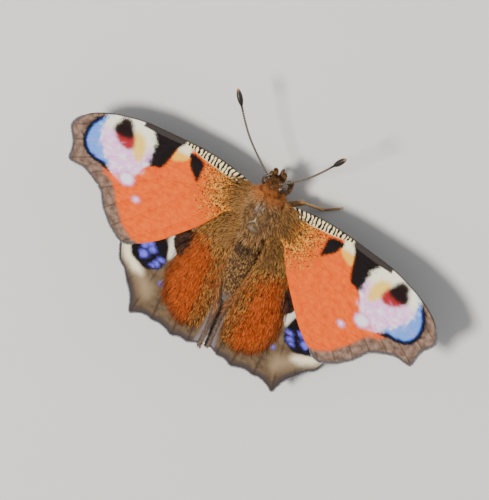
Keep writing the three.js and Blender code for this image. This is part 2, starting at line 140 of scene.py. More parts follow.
# How each wing is held, in degrees: turned back, raised at the tip, raised at the rear.
POSE = {
    "forewing_left": (-0.1, 3.2, 0.9),
    "forewing_right": (0.7, 6.2, -0.4),
    "hindwing_left": (0.4, 2.0, 2.2),
    "hindwing_right": (-0.4, 1.2, -1.4),
}
MIDLINE_CLEARANCE = 0.12
MEMBRANE = 0.2
VEIN_WIDTH = 0.16
PLEAT_DEPTH = 0.10
FOLD_HEIGHT = 0.5
SCALE_SIZE = 0.15
WING_MAP_SIZE = 40
# The wing mesh's cells along the margin and from root to margin
ACROSS, ALONG = 200, 130

# Markings of the forewing
FORE_MARKS = {
    "big_black": [
        (17.9, -2.9), (11.6, -2.9), (12.0, -1.5), (12.5, 0.3), (12.95, 2.1), (13.6, 2.8), (14.8, 3.2),
        (16.3, 4.1), (17.4, 4.0), (18.6, 1.5), (18.9, -1.0),
    ],
    "small_black": [
        (10.0, -1.75), (8.6, -1.75), (7.5, -1.2), (7.4, 0.2), (7.45, 1.9), (8.4, 1.2), (9.5, -0.1),
    ],
    "cream_patch": [
        (11.7, -3.3), (10.4, -3.3), (9.8, -1.9), (9.9, -0.7), (10.9, 0.2), (12.4, 0.5), (12.3, -1.3),
    ],
    "eye": [
        (18.3, -3.0), (17.0, -1.2), (16.3, 0.4), (16.1, 2.2), (16.4, 3.9), (17.4, 5.2), (18.8, 6.3),
        (20.0, 7.15), (21.4, 7.15), (22.6, 6.9), (24.2, 6.6), (25.4, 6.0), (26.1, 4.9), (26.35, 3.4),
        (26.2, 1.9), (25.4, 0.4), (24.2, -0.7), (22.4, -2.4), (20.0, -3.0),
    ],
    "blue": [
        (19.0, -3.2), (16.9, -1.2), (16.2, 0.4), (16.0, 2.2), (16.3, 3.9), (17.3, 5.2), (18.8, 6.4),
        (19.9, 6.8), (21.2, 6.35), (22.4, 6.25), (23.6, 6.1), (24.8, 5.6), (25.5, 4.6), (25.7, 3.2),
        (25.4, 1.8), (24.6, 0.5), (23.7, -0.9), (21.8, -2.6),
    ],
    "white_part": [
        (18.0, -3.4), (16.2, -1.6), (15.4, 1.0), (15.8, 4.6), (18.1, 6.8), (20.0, 7.2), (21.5, 5.6),
        (22.8, 4.6), (23.6, 3.0), (24.0, 1.0), (23.6, -0.8), (21.6, -2.7),
    ],
    "yellow": [
        (18.3, -0.6), (17.0, 0.2), (16.5, 1.6), (16.5, 3.2), (17.3, 3.7), (18.3, 2.6), (19.0, 1.6),
        (19.2, 0.2), (19.0, -0.6),
    ],
    "red": [
        (22.0, 0.4), (21.9, 1.4), (20.9, 2.2), (19.6, 2.7), (18.6, 2.4), (18.4, 1.4), (18.9, 0.3),
        (20.4, -0.4),
    ],
    "pupil": [
        (22.3, 1.0), (22.3, 0.1), (21.9, -0.7), (21.6, -1.5), (20.7, -1.8), (19.7, -1.2), (19.1, 0.0),
        (19.3, 0.9), (20.4, 1.3), (21.4, 1.3),
    ],
    "margin": [
        (30.0, -4.0), (23.0, -3.4), (23.4, 0.5), (24.0, 3.0), (23.4, 5.4), (21.9, 6.6), (21.0, 7.8),
        (19.1, 8.7), (18.3, 10.0), (17.5, 11.2), (16.6, 12.3), (15.7, 13.4), (14.8, 14.2), (13.6, 14.9),
        (12.0, 15.3), (11.0, 15.2), (11.0, 20.0), (34.0, 20.0),
    ],
}
FORE_SPOTS = [((17.55, 6.85), 1.35, 1.1), ((14.9, 9.15), 0.62, 0.5)]
SUBCOSTAL_LINE = [(0.1, -0.75), (4.0, -1.35), (8.1, -1.95), (10.4, -2.5)]
COSTAL_STRIP = [(11.6, -2.3), (14.8, -2.0), (18.2, -1.9)]
BAR_END = 11.3
STRIP_END = 18.2

# Markings of the hindwing
HIND_MARKS = {
    "eye": [
        (13.2, 12.2), (12.5, 13.3), (11.1, 14.0), (9.6, 14.3), (8.4, 13.9), (7.55, 13.1), (7.3, 11.8),
        (7.5, 10.2), (8.3, 8.7), (10.0, 7.6), (12.2, 8.2), (13.6, 10.2),
    ],
    "eye_ring": [
        (14.9, 9.4), (14.8, 12.2), (13.8, 13.9), (12.4, 15.0), (11.0, 15.5), (9.9, 15.4), (10.4, 14.4),
        (12.0, 13.4), (13.0, 12.2), (13.4, 9.4),
    ],
    "pale_patch": [(8.0, 9.0), (8.1, 7.2), (7.4, 6.2), (6.6, 6.6), (6.2, 8.4), (6.4, 10.4), (7.2, 11.0)],
    "dark_tuft": [(7.2, 6.6), (6.2, 5.2), (5.0, 5.2), (4.6, 6.4), (5.2, 8.6), (6.0, 8.4)],
    "field": [
        (3.6, 1.0), (4.6, 5.4), (5.5, 8.8), (5.9, 12.0), (5.6, 14.6), (4.7, 16.4), (3.3, 17.4), (1.6, 18.1),
        (0.0, 18.2), (-1.2, 17.4), (-1.6, 14.8), (-1.5, 10.0), (-2.5, 4.0), (-2.5, -1.5), (2.0, -1.5),
    ],
    "pale_band": [
        (14.3, 13.2), (12.6, 15.2), (10.4, 16.6), (8.6, 18.6), (7.4, 18.4), (7.6, 16.4), (9.2, 15.6),
        (11.2, 14.9), (13.2, 13.0),
    ],
    "rim": [
        (-0.9, 3.0), (-0.7, 7.4), (-1.2, 10.6), (-1.9, 13.2), (-2.2, 16.4), (-2.0, 19.0), (-1.5, 22.0),
        (-4.0, 22.0), (-5.0, 3.0),
    ],
}
HIND_BLOTCHES = [((10.9, 12.3), 0.75, 0.6), ((9.9, 10.9), 0.6, 0.45), ((11.2, 10.9), 0.55, 0.45),
                 ((10.5, 10.3), 0.5, 0.4), ((8.05, 11.9), 0.42, 0.3), ((8.45, 12.65), 0.42, 0.3),
                 ((8.85, 13.35), 0.4, 0.28), ((6.5, 15.3), 0.26, 0.22)]


# Plane geometry with arrays

def through(points, count, closed=False):
    """Points along a smooth line through the given ones, evenly spaced."""
    p = np.array(points, float)
    if closed:
        p = np.vstack([p[-1], p, p[0], p[1]])
    else:
        p = np.vstack([2 * p[0] - p[1], p, 2 * p[-1] - p[-2]])
    pieces = []
    t = np.linspace(0, 1, 12, endpoint=False)[:, None]
    for a, b, c, d in zip(p[:-3], p[1:-2], p[2:-1], p[3:]):
        pieces.append(0.5 * (2 * b + (c - a) * t + (2 * a - 5 * b + 4 * c - d) * t ** 2
                             + (3 * b - a - 3 * c + d) * t ** 3))
    line = np.vstack(pieces + [p[-2][None]])
    length = run_along(line)
    return at_each(np.linspace(0, length[-1], count), length, line)


def distance_to_line(points, line):
    """The distance of each point from a line of points."""
    best = np.full(len(points), 1e9)
    for a, b in zip(line[:-1], line[1:]):
        along = b - a
        share = np.clip(((points - a) @ along) / max(along @ along, 1e-12), 0, 1)
        best = np.minimum(best, np.linalg.norm(points - a - share[:, None] * along, axis=1))
    return best


def signed_distance(points, outline):
    """The distance of each point from a smooth closed outline, negative inside."""
    loop = through(outline, 90, closed=True)
    inside = np.zeros(len(points), bool)
    for a, b in zip(loop[:-1], loop[1:]):
        crosses = (a[1] > points[:, 1]) != (b[1] > points[:, 1])
        rise = b[1] - a[1] if abs(b[1] - a[1]) > 1e-12 else 1e-12
        at = a[0] + (points[:, 1] - a[1]) * (b[0] - a[0]) / rise
        inside ^= crosses & (points[:, 0] < at)
    return np.where(inside, -1, 1) * distance_to_line(points, loop)


def spot_distance(points, spots):
    """Roughly the distance from the nearest of some ellipses, negative inside."""
    best = np.full(len(points), 1e9)
    for centre, half_u, half_v in spots:
        reach = np.linalg.norm((points - np.array(centre)) / np.array([half_u, half_v]), axis=1)
        best = np.minimum(best, (reach - 1) * min(half_u, half_v))
    return best


def ease(value, low, high):
    """0 below low, 1 above high and smooth between."""
    t = np.clip((value - low) / (high - low), 0, 1)
    return t * t * (3 - 2 * t)


def bell(value, width):
    """1 where the value is 0, falling off smoothly within about the width."""
    return np.exp(-(value / width) ** 2)


def unit(vectors):
    """The vectors, along the last axis, at length 1."""
    return vectors / np.maximum(np.linalg.norm(vectors, axis=-1, keepdims=True), 1e-9)


def run_along(points):
    """How far along a line of points each one lies."""
    return np.concatenate([[0], np.cumsum(np.linalg.norm(np.diff(points, axis=0), axis=1))])


def at_each(want, known, rows):
    """The rows interpolated, column by column, at the wanted values."""
    return np.stack([np.interp(want, known, rows[:, k]) for k in range(rows.shape[1])], axis=1)


def side_name(side):
    """Side 1 is the animal's left, -1 its right."""
    return "left" if side > 0 else "right"


# Shader maths

class Wire:
    """A shader socket, or a plain number, that takes part in Python expressions."""

    def __init__(self, graph, socket):
        self.graph = graph
        self.socket = socket

    def _math(self, operation, *values):
        return self.graph.node("ShaderNodeMath", {"operation": operation}, *values)

    def __add__(self, other):
        return self._math("ADD", self, other)

    def __sub__(self, other):
        return self._math("SUBTRACT", self, other)

    def __mul__(self, other):
        return self._math("MULTIPLY", self, other)

    def least(self, other):
        return self._math("MINIMUM", self, other)

    def most(self, other):
        return self._math("MAXIMUM", self, other)

    def sine(self):
        return self._math("SINE", self)

    def ramp(self, low, high):
        """0 where the value is low and 1 where it is high, also with low above high."""
        ends = (low, high, 0.0, 1.0) if low < high else (high, low, 1.0, 0.0)
        settings = {"interpolation_type": "SMOOTHSTEP", "clamp": True}
        return self.graph.node("ShaderNodeMapRange", settings, self, *ends)


class Graph:
    """One material's nodes, made in the order in which they are written down."""

    def __init__(self, name, roughness=0.6, **constants):
        self.material = bpy.data.materials.new(name)
        self.material.use_nodes = True
        self.tree = self.material.node_tree
        self.shader = self.tree.nodes["Principled BSDF"]
        self.shader.inputs["Roughness"].default_value = roughness
        for socket, value in constants.items():
            self.shader.inputs[socket.replace("_", " ")].default_value = value

    def node(self, kind, settings=None, *values, out=0, **named):
        made = self.tree.nodes.new(kind)
        for key, value in (settings or {}).items():
            setattr(made, key, value)
        for i, value in enumerate(values):
            self.join(made.inputs[i], value)
        for key, value in named.items():
            self.join(made.inputs[key.replace("_", " ")], value)
        return Wire(self, made.outputs[out])

    def join(self, target, value):
        if isinstance(value, Wire):
            self.tree.links.new(value.socket, target)
        else:
            target.default_value = value

    def attribute(self, name, out="Fac"):
        return self.node("ShaderNodeAttribute", {"attribute_name": name}, out=out)

    def attributes(self, *names):
        return [self.attribute(name) for name in names]

    def place(self):
        return self.node("ShaderNodeTexCoord", out="Object")

    def wing_plane(self):
        return self.node("ShaderNodeUVMap", {"uv_map": "WingPlane"})

    def noise(self, where, size_mm, detail=2.0, rough=0.5):
        """Soft noise with features of about the given size."""
        return self.node("ShaderNodeTexNoise", {}, Vector=where, Scale=1 / (size_mm * MM), Detail=detail,
                         Roughness=rough)

    def specks(self, where, colour, share, dark, gold):
        """Strews dark and gold scales over a colour; share is the wires that say how many of each."""
        cell = self.node("ShaderNodeTexVoronoi", {"feature": "F1"}, out="Color", Vector=where,
                         Scale=1 / (SCALE_SIZE * MM))
        for channel, many, shade in zip(("Red", "Green"), share, (dark, gold)):
            pick = self.node("ShaderNodeSeparateColor", {}, cell, out=channel)
            colour = self.mix((pick - 1.0 + many).ramp(0.0, 0.08), colour, shade)
        return colour

    def mix(self, share, first, second):
        made = self.tree.nodes.new("ShaderNodeMix")
        made.data_type = "RGBA"
        self.join(made.inputs["Factor"], share)
        self.join(made.inputs[6], first)
        self.join(made.inputs[7], second)
        return Wire(self, made.outputs[2])

    def bump(self, height, strength, distance_mm):
        return self.node("ShaderNodeBump", {}, Height=height, Strength=strength, Distance=distance_mm * MM,
                         out="Normal")

    def finish(self, colour=None, roughness=None, normal=None):
        for socket, value in (("Base Color", colour), ("Roughness", roughness), ("Normal", normal)):
            if value is not None:
                self.join(self.shader.inputs[socket], value)
        return self.material


def inside(distance, soft):
    """A mask that is 1 where a signed distance in millimetres is below 0, with a soft edge."""
    return distance.ramp(soft, -soft)


# Meshes

def make_object(name, verts_mm, faces, material):
    """A smooth mesh object at the origin; faces is a list, or an array when all have as many corners."""
    mesh = bpy.data.meshes.new(name)
    faces = faces.tolist() if isinstance(faces, np.ndarray) else faces
    mesh.from_pydata(to_row(verts_mm).tolist(), [], faces)
    mesh.validate()
    piece = bpy.data.objects.new(name, mesh)
    bpy.context.scene.collection.objects.link(piece)
    mesh.materials.append(material)
    mesh.polygons.foreach_set("use_smooth", [True] * len(mesh.polygons))
    return piece


def set_attribute(piece, name, values):
    layer = piece.data.attributes.new(name, "FLOAT", "POINT")
    layer.data.foreach_set("value", np.asarray(values, np.float32))


def set_colours(piece, name, colours):
    layer = piece.data.attributes.new(name, "FLOAT_COLOR", "POINT")
    rgba = np.concatenate([colours, np.ones((len(colours), 1))], axis=1)
    layer.data.foreach_set("color", rgba.astype(np.float32).ravel())


def set_uv(piece, name, uv):
    """Gives each corner the map place of its vertex."""
    layer = piece.data.uv_layers.new(name=name)
    corner = np.empty(len(piece.data.loops), np.int32)
    piece.data.loops.foreach_get("vertex_index", corner)
    layer.data.foreach_set("uv", np.asarray(uv, np.float32)[corner].ravel())


def own(piece, nodes=()):
    """A finished piece rides on the body and stands for its nodes."""
    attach(piece, BODY)
    if nodes:
        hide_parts(*nodes)


def to_row(points_mm):
    """Places in millimetres round the thorax, in metres in the row frame."""
    return np.asarray(points_mm, float) * MM + HOME_ROW


# Wings

def lift(plan, height, root, pose, side):
    """Takes places in a wing's plane, with a height over it, to millimetres round the thorax."""
    turn, rise, pitch = (math.radians(a) for a in pose)
    out = plan[:, 0] * math.cos(turn) - plan[:, 1] * math.sin(turn)
    rear = plan[:, 0] * math.sin(turn) + plan[:, 1] * math.cos(turn)
    x = np.maximum(root[0] + out * math.cos(rise), MIDLINE_CLEARANCE)
    y = root[1] + rear * math.cos(pitch)
    z = root[2] + out * math.tan(rise) + rear * math.tan(pitch) + height
    return np.stack([side * x, y, z], axis=1)


def wing_plan(spec):
    """A patch of plan points that fills the wing's outline, as (along the margin, root to margin)."""
    front, back = (through(spec[k], ALONG + 1) for k in ("front", "back"))
    margin = through(spec["margin"], ACROSS + 1)
    first, last = (np.array(p, float) for p in spec["root_edge"])
    s = np.linspace(0, 1, ACROSS + 1)[:, None, None]
    t = np.linspace(0, 1, ALONG + 1)[None, :, None]
    root_line = first + (last - first) * s
    corners = ((1 - s) * (1 - t) * front[0] + (1 - s) * t * front[-1]
               + s * (1 - t) * back[0] + s * t * back[-1])
    return (1 - s) * front[None] + s * back[None] + (1 - t) * root_line + t * margin[:, None] - corners


def wing_height(plan, spec, is_hind):
    """How far the membrane stands over its plane: veins, the pleats between them and the inner fold."""
    veins = [through(v, 24) for v in spec["veins"]]
    nearest = np.min([distance_to_line(plan, v) for v in veins], axis=0)
    height = spec["vein_height"] * bell(nearest, VEIN_WIDTH) - PLEAT_DEPTH * ease(nearest, 0.0, 1.1)
    if is_hind:
        edge = distance_to_line(plan, through(spec["back"], 60))
        rows = ease(plan[:, 1], 3.0, 8.0) * (1 - ease(plan[:, 1], 14.0, 20.0))
        height += FOLD_HEIGHT * bell(edge, 0.9) * rows
    return height, nearest


def wing_mesh(name, kind, material):
    spec = WINGS[kind]
    side = 1 if name.endswith("left") else -1
    patch = wing_plan(spec)
    plan = patch.reshape(-1, 2)
    height, nearest = wing_height(plan, spec, kind == "hindwing")
    front, margin, back = (through(spec[k], 90) for k in ("front", "margin", "back"))
    rim = distance_to_line(plan, np.vstack([front, margin, back[::-1]]))
    half = MEMBRANE / 2 * (0.3 + 0.7 * ease(rim, 0.0, 0.35))
    skins = [lift(plan, height + sign * half, spec["root"], POSE[name], side) for sign in (1, -1)]
    count = len(plan)
    index = np.arange(count).reshape(ACROSS + 1, ALONG + 1)
    a, b, c, d = index[:-1, :-1], index[:-1, 1:], index[1:, 1:], index[1:, :-1]
    up = np.stack([a, d, c, b], axis=-1).reshape(-1, 4)
    down = np.stack([a, b, c, d], axis=-1).reshape(-1, 4) + count
    loop = np.concatenate([index[0, :], index[1:, -1], index[-1, -2::-1], index[-2:0:-1, 0]])
    nxt = np.roll(loop, -1)
    wall = np.stack([loop, nxt, nxt + count, loop + count], axis=-1)
    faces = np.vstack([up, down, wall])
    if side < 0:
        faces = faces[:, ::-1]
    piece = make_object(name + "_scaled", np.vstack(skins), faces, material)
    both = np.vstack([plan, plan])
    set_uv(piece, "WingPlane", both * MM)
    set_attribute(piece, "upper", np.concatenate([np.ones(count), np.zeros(count)]))
    outer = distance_to_line(plan, through(spec["margin"], 120))
    paint(piece, {"vein": nearest, "outer": outer, "reach": np.linalg.norm(plan, axis=1)})
    return piece, plan


def paint(piece, marks):
    """Marks are the same above and below; the material paints them on the upper side."""
    for name, values in marks.items():
        set_attribute(piece, name, np.tile(values, 2))


def wing_underside(graph, where):
    """The underside's blackish brown with fine dark ripples, like charred bark."""
    ripple = graph.noise(where, 0.7, 4.0, 0.7)
    coarse = graph.noise(where, 3.5, 3.0, 0.6)
    dark = graph.mix(ripple.ramp(0.35, 0.65), srgb(26, 20, 18), srgb(58, 46, 38))
    return graph.mix(coarse.ramp(0.5, 0.75), dark, srgb(82, 68, 56))


def scale_bump(graph, where, vein):
    """Rows of tiny scales and the veins' raised lines."""
    scales = graph.noise(where, 0.11, 2.0, 0.6)
    tube = vein.ramp(0.16, 0.0)
    return graph.bump(scales * 0.6 + tube * 0.5, 0.5, 0.05)


def forewing_material(props):
    graph = Graph("forewing_scales", roughness=0.7, Specular_IOR_Level=0.14)
    where = graph.wing_plane()
    fine = graph.noise(where, 0.12, 2.0, 0.7)
    soft = graph.noise(where, 0.9, 3.0, 0.55)
    ragged = (fine - 0.5) * 1.7 + (soft - 0.5) * 0.5
    d = {name: graph.attribute(name) + ragged for name in FORE_MARKS}
    reach, vein, outer, along = graph.attributes("reach", "vein", "outer", "along")
    front, line, strip, spots, barzone = graph.attributes("front", "line", "strip", "spots", "barzone")
    # orange ground, deeper near the veins and yellower at the root
    colour = graph.mix(soft.ramp(0.35, 0.7), tuple(props.orange) + (1.0,), srgb(232, 80, 0))
    colour = graph.mix(reach.ramp(11.0, 3.0) * 0.75, colour, srgb(206, 96, 20))
    colour = graph.mix(vein.ramp(0.12, 0.03) * 0.35, colour, srgb(190, 66, 20))
    stretched = graph.node("ShaderNodeVectorMath", {"operation": "MULTIPLY"}, where, (0.12, 1.0, 1.0))
    strands = graph.noise(stretched, 0.2, 3.0, 0.6)
    colour = graph.mix(strands.ramp(0.5, 0.72) * 0.4, colour, srgb(255, 146, 44))
    colour = graph.mix(strands.ramp(0.46, 0.3) * 0.4, colour, srgb(214, 58, 0))
    # gold and dark scales over the root
    dusting = (reach + (soft - 0.5) * 5.0).ramp(9.0, 3.0)
    colour = graph.mix(dusting * 0.45, colour, srgb(160, 84, 16))
    shares = (dusting * 0.62, dusting * 0.5)
    colour = graph.specks(where, colour, shares, srgb(62, 38, 22), srgb(226, 158, 60))
    # brown border with a paler outer part
    border = graph.mix((soft + fine * 0.3).ramp(0.45, 0.85), srgb(98, 76, 64), srgb(150, 122, 104))
    border = graph.mix(vein.ramp(0.2, 0.05) * 0.55, border, srgb(56, 42, 34))
    border = graph.mix(outer.ramp(0.5, 0.25) * 0.7, border, srgb(84, 80, 84))
    colour = graph.mix(inside(d["margin"], 0.32), colour, border)
    # cream patch and the two black ones
    cream = graph.mix(along.ramp(-0.6, -1.6), srgb(255, 190, 60), tuple(props.cream) + (1.0,))
    colour = graph.mix(inside(d["cream_patch"], 0.3), colour, cream)
    black = srgb(16, 8, 8)
    colour = graph.mix(inside(d["small_black"].least(d["big_black"]), 0.08), colour, black)
    # the eye: black ring, blue rim, white and lilac middle, yellow arc, red and black pupil
    colour = graph.mix(inside(d["eye"], 0.06), colour, srgb(10, 9, 26))
    blue = graph.mix(fine.ramp(0.4, 0.62), srgb(30, 92, 226), srgb(150, 200, 255))
    colour = graph.mix(inside(d["blue"], 0.08), colour, blue)
    lilac = graph.mix((soft + fine * 0.4).ramp(0.45, 0.8), srgb(255, 255, 255), srgb(250, 186, 246))
    white = graph.mix(along.ramp(0.2, 1.8), srgb(255, 252, 226), lilac)
    colour = graph.mix(inside(d["white_part"] + (soft - 0.5) * 1.6 + (fine - 0.5) * 0.8, 0.3), colour, white)
    colour = graph.mix(inside(d["yellow"], 0.5), colour, srgb(255, 214, 96))
    colour = graph.mix(inside(d["red"] + (fine - 0.5) * 0.5, 0.3), colour, srgb(168, 40, 44))
    colour = graph.mix(inside(d["pupil"] + (fine - 0.5) * 0.4, 0.35), colour, srgb(26, 8, 8))
    eye_vein = inside(d["blue"], 0.1) * vein.ramp(0.13, 0.05) * along.ramp(1.4, 2.2)
    colour = graph.mix(eye_vein * soft.ramp(0.35, 0.6) * 0.6, colour, srgb(224, 140, 206))
    # two pale spots
    pale = graph.mix((spots + ragged).ramp(-0.1, -0.5), srgb(228, 150, 212), srgb(252, 244, 252))
    colour = graph.mix(inside(spots + ragged * 1.3, 0.1), colour, pale)
    # front edge: barred up to the cream patch, then smoky
    bars = ((front * 3.4 + reach * 11.0) + (soft - 0.5) * 9.0).sine()
    barred = graph.mix(bars.ramp(-0.12, 0.2), srgb(30, 22, 18), srgb(250, 232, 180))
    colour = graph.mix(inside(barzone, 0.04), colour, barred)
    colour = graph.mix(inside(strip + ragged * 0.4, 0.1), colour, srgb(58, 52, 50))
    colour = graph.mix(inside(line, 0.04) * 0.85, colour, srgb(236, 208, 150))
    colour = graph.mix(front.ramp(0.2, 0.08) * reach.ramp(2.0, 4.0), colour, srgb(58, 48, 44))
    colour = graph.mix(outer.ramp(0.16, 0.06), colour, srgb(150, 146, 150))
    colour = graph.mix(graph.attribute("upper"), wing_underside(graph, where), colour)
    return graph.finish(colour, normal=scale_bump(graph, where, vein))


def hindwing_material(props):
    graph = Graph("hindwing_scales", roughness=0.75, Specular_IOR_Level=0.14)
    where = graph.wing_plane()
    fine = graph.noise(where, 0.12, 2.0, 0.7)
    soft = graph.noise(where, 1.1, 3.0, 0.55)
    ragged = (fine - 0.5) * 1.7 + (soft - 0.5) * 0.6
    d = {name: graph.attribute(name) + ragged for name in HIND_MARKS}
    reach, vein, outer, along = graph.attributes("reach", "vein", "outer", "along")
    blotches, body_side = graph.attributes("blotches", "body_side")
    colour = graph.mix((soft + fine * 0.3).ramp(0.4, 0.85), tuple(props.brown) + (1.0,), srgb(112, 92, 68))
    colour = graph.mix(outer.ramp(1.4, 0.5), colour, srgb(72, 62, 58))
    colour = graph.mix(vein.ramp(0.3, 0.06) * outer.ramp(7.0, 3.5) * 0.7, colour, srgb(60, 48, 40))
    colour = graph.mix(inside(d["pale_band"], 1.2), colour, srgb(152, 130, 100))
    ring = graph.mix(along.ramp(9.0, 12.5), srgb(206, 204, 176), srgb(255, 240, 206))
    colour = graph.mix(inside(d["eye_ring"], 0.8), colour, ring)
    colour = graph.mix(inside(d["pale_patch"], 0.35), colour, srgb(226, 226, 206))
    field = graph.mix(soft.ramp(0.3, 0.7), tuple(props.rust) + (1.0,), srgb(150, 40, 0))
    colour = graph.mix(inside(d["field"], 0.35), colour, field)
    colour = graph.mix(inside(d["dark_tuft"], 0.3), colour, srgb(24, 12, 8))
    colour = graph.mix(inside(d["eye"], 0.1), colour, srgb(12, 8, 12))
    colour = graph.mix(inside(blotches + ragged * 1.6, 0.08), colour, srgb(110, 104, 240))
    # gold and dark scales beside the body and over the root
    bodyward = (body_side + (soft - 0.5) * 2.0).ramp(3.4, 0.8)
    dusting = (bodyward * along.ramp(17.5, 12.5)).most((reach + (soft - 0.5) * 4.0).ramp(9.0, 3.0))
    shares = (dusting * 0.6, dusting * 0.46)
    colour = graph.specks(where, colour, shares, srgb(66, 36, 20), srgb(220, 160, 72))
    rim = graph.mix(along.ramp(13.0, 18.0), srgb(104, 60, 36), srgb(120, 110, 112))
    colour = graph.mix(inside(d["rim"], 0.25), colour, rim)
    colour = graph.mix(outer.ramp(0.34, 0.2), colour, srgb(58, 54, 58))
    colour = graph.mix(outer.ramp(0.15, 0.06), colour, srgb(170, 172, 186))
    colour = graph.mix(graph.attribute("upper"), wing_underside(graph, where), colour)
    return graph.finish(colour, normal=scale_bump(graph, where, vein))


def dress_forewing(name, material):
    piece, plan = wing_mesh(name, "forewing", material)
    marks = {key: signed_distance(plan, outline) for key, outline in FORE_MARKS.items()}
    front = distance_to_line(plan, through(WINGS["forewing"]["front"], 120))
    subcostal = through(SUBCOSTAL_LINE, 40)
    line = distance_to_line(plan, subcostal)
    below = plan[:, 1] - np.interp(plan[:, 0], subcostal[:, 0], subcostal[:, 1], left=-1.2, right=-2.6)
    barzone = np.maximum(np.maximum(below, plan[:, 0] - BAR_END), 0.4 - plan[:, 0])
    strip_line = through(COSTAL_STRIP, 30)
    strip = plan[:, 1] - np.interp(plan[:, 0], strip_line[:, 0], strip_line[:, 1])
    strip = np.maximum(np.maximum(strip, BAR_END - plan[:, 0]), plan[:, 0] - STRIP_END)
    marks.update(front=front, line=line - 0.06 + 0.05 * (plan[:, 0] > 10.3), barzone=barzone, strip=strip,
                 spots=spot_distance(plan, FORE_SPOTS), along=plan[:, 1])
    paint(piece, marks)
    own(piece, [name])


def dress_hindwing(name, material):
    piece, plan = wing_mesh(name, "hindwing", material)
    marks = {key: signed_distance(plan, outline) for key, outline in HIND_MARKS.items()}
    marks.update(blotches=spot_distance(plan, HIND_BLOTCHES), along=plan[:, 1],
                 body_side=distance_to_line(plan, through(WINGS["hindwing"]["back"], 80)))
    paint(piece, marks)
    own(piece, [name])


# Body skin

# Sections of the body from front to rear: y, middle z, half width, half height
SECTIONS = [
    (-6.02, 0.0, 0.10, 0.10), (-5.9, 0.0, 0.5, 0.45), (-5.6, 0.02, 0.9, 0.85), (-5.1, 0.05, 1.25, 1.12),
    (-4.6, 0.05, 1.32, 1.2), (-4.1, 0.1, 1.2, 1.14), (-3.65, 0.1, 1.12, 1.12), (-3.3, -0.1, 1.5, 1.5),
    (-2.8, -0.35, 1.95, 2.0), (-2.0, -0.5, 2.35, 2.32), (-1.0, -0.55, 2.55, 2.4), (0.3, -0.55, 2.6, 2.4),
    (1.6, -0.6, 2.5, 2.3), (2.6, -0.65, 2.15, 2.05), (3.5, -0.65, 1.65, 1.6), (4.1, -0.6, 1.5, 1.45),
    (5.0, -0.62, 1.68, 1.6), (6.5, -0.7, 1.8, 1.7), (8.5, -0.8, 1.78, 1.68), (10.5, -0.9, 1.62, 1.54),
    (12.5, -1.02, 1.34, 1.28), (14.2, -1.12, 1.02, 0.98), (15.4, -1.2, 0.7, 0.68), (16.1, -1.24, 0.4, 0.4),
    (16.36, -1.25, 0.1, 0.1),
]
SKIN_RINGS, SKIN_SIDES = 330, 120
# The stretch of y that the coat's map covers, which holds the body with a little to spare
HEAD_REACH, BODY_LENGTH = 6.1, 22.6
ABDOMEN_FRONT, ABDOMEN_REAR, ABDOMEN_RINGS = 4.2, 16.0, 9


def body_section(y):
    """The skin's middle height, half width and half height at y."""
    line = through(SECTIONS, 700)
    line = line[np.argsort(line[:, 0])]
    return [np.interp(y, line[:, 0], line[:, k]) for k in (1, 2, 3)]


def arm_distance(x, y):
    """How far a place lies from the two arms of the shield's Y, which leave the middle at y = 1."""
    return np.abs(x) - (y - 1.0) * 0.9


def skin_relief(x, y, up):
    """Rings of the abdomen, the shield's Y groove and the small shield behind it, in millimetres."""
    ring = (y - ABDOMEN_FRONT) / (ABDOMEN_REAR - ABDOMEN_FRONT) * ABDOMEN_RINGS
    on_abdomen = ease(y, 4.4, 5.2) * (1 - ease(y, 15.2, 16.0))
    relief = on_abdomen * (0.09 * (ring % 1.0) - 0.03 - 0.10 * bell(ring % 1.0, 0.1))
    top = ease(up, 0.55, 0.8)
    groove = bell(x, 0.09) * ease(y, -2.6, -1.8) * (1 - ease(y, 0.9, 1.2))
    arm = bell(arm_distance(x, y), 0.11) * ease(y, 0.95, 1.15) * (1 - ease(y, 2.0, 2.4))
    shield = bell(x, 0.95) * bell(y - 2.55, 0.5)
    dome = bell(np.abs(x) - 0.75, 0.62) * bell(y + 0.6, 1.5)
    return relief + top * (0.13 * dome + 0.2 * shield - 0.1 * groove - 0.09 * arm)


def skin_at(angle, y):
    """Places on the skin, in millimetres, for angles round the body (0 left, 90 top) and y."""
    middle, wide, tall = body_section(y)
    x, up = np.cos(angle), np.sin(angle)
    grow = skin_relief(x * wide, y, up)
    return np.stack([x * (wide + grow), y, middle + up * (tall + grow)], axis=-1)


def skin_normal(angle, y):
    small = 0.02
    along = skin_at(angle, y + small) - skin_at(angle, y - small)
    around = skin_at(angle + small, y) - skin_at(angle - small, y)
    normal = np.cross(along, around)
    outwards = skin_at(angle, y) - np.stack([y * 0, y, body_section(y)[0]], axis=-1)
    return unit(normal * np.sign(np.sum(normal * outwards, axis=-1, keepdims=True) + 1e-9))


# The outline of the bare shield on top of the thorax, x and y
BALD = [(0.45, -2.0), (1.05, -1.7), (1.6, -0.8), (1.8, 0.3), (1.75, 1.4), (1.35, 2.4), (0.6, 3.1),
        (-0.6, 3.1), (-1.35, 2.4), (-1.75, 1.4), (-1.8, 0.3), (-1.6, -0.8), (-1.05, -1.7), (-0.45, -2.0)]


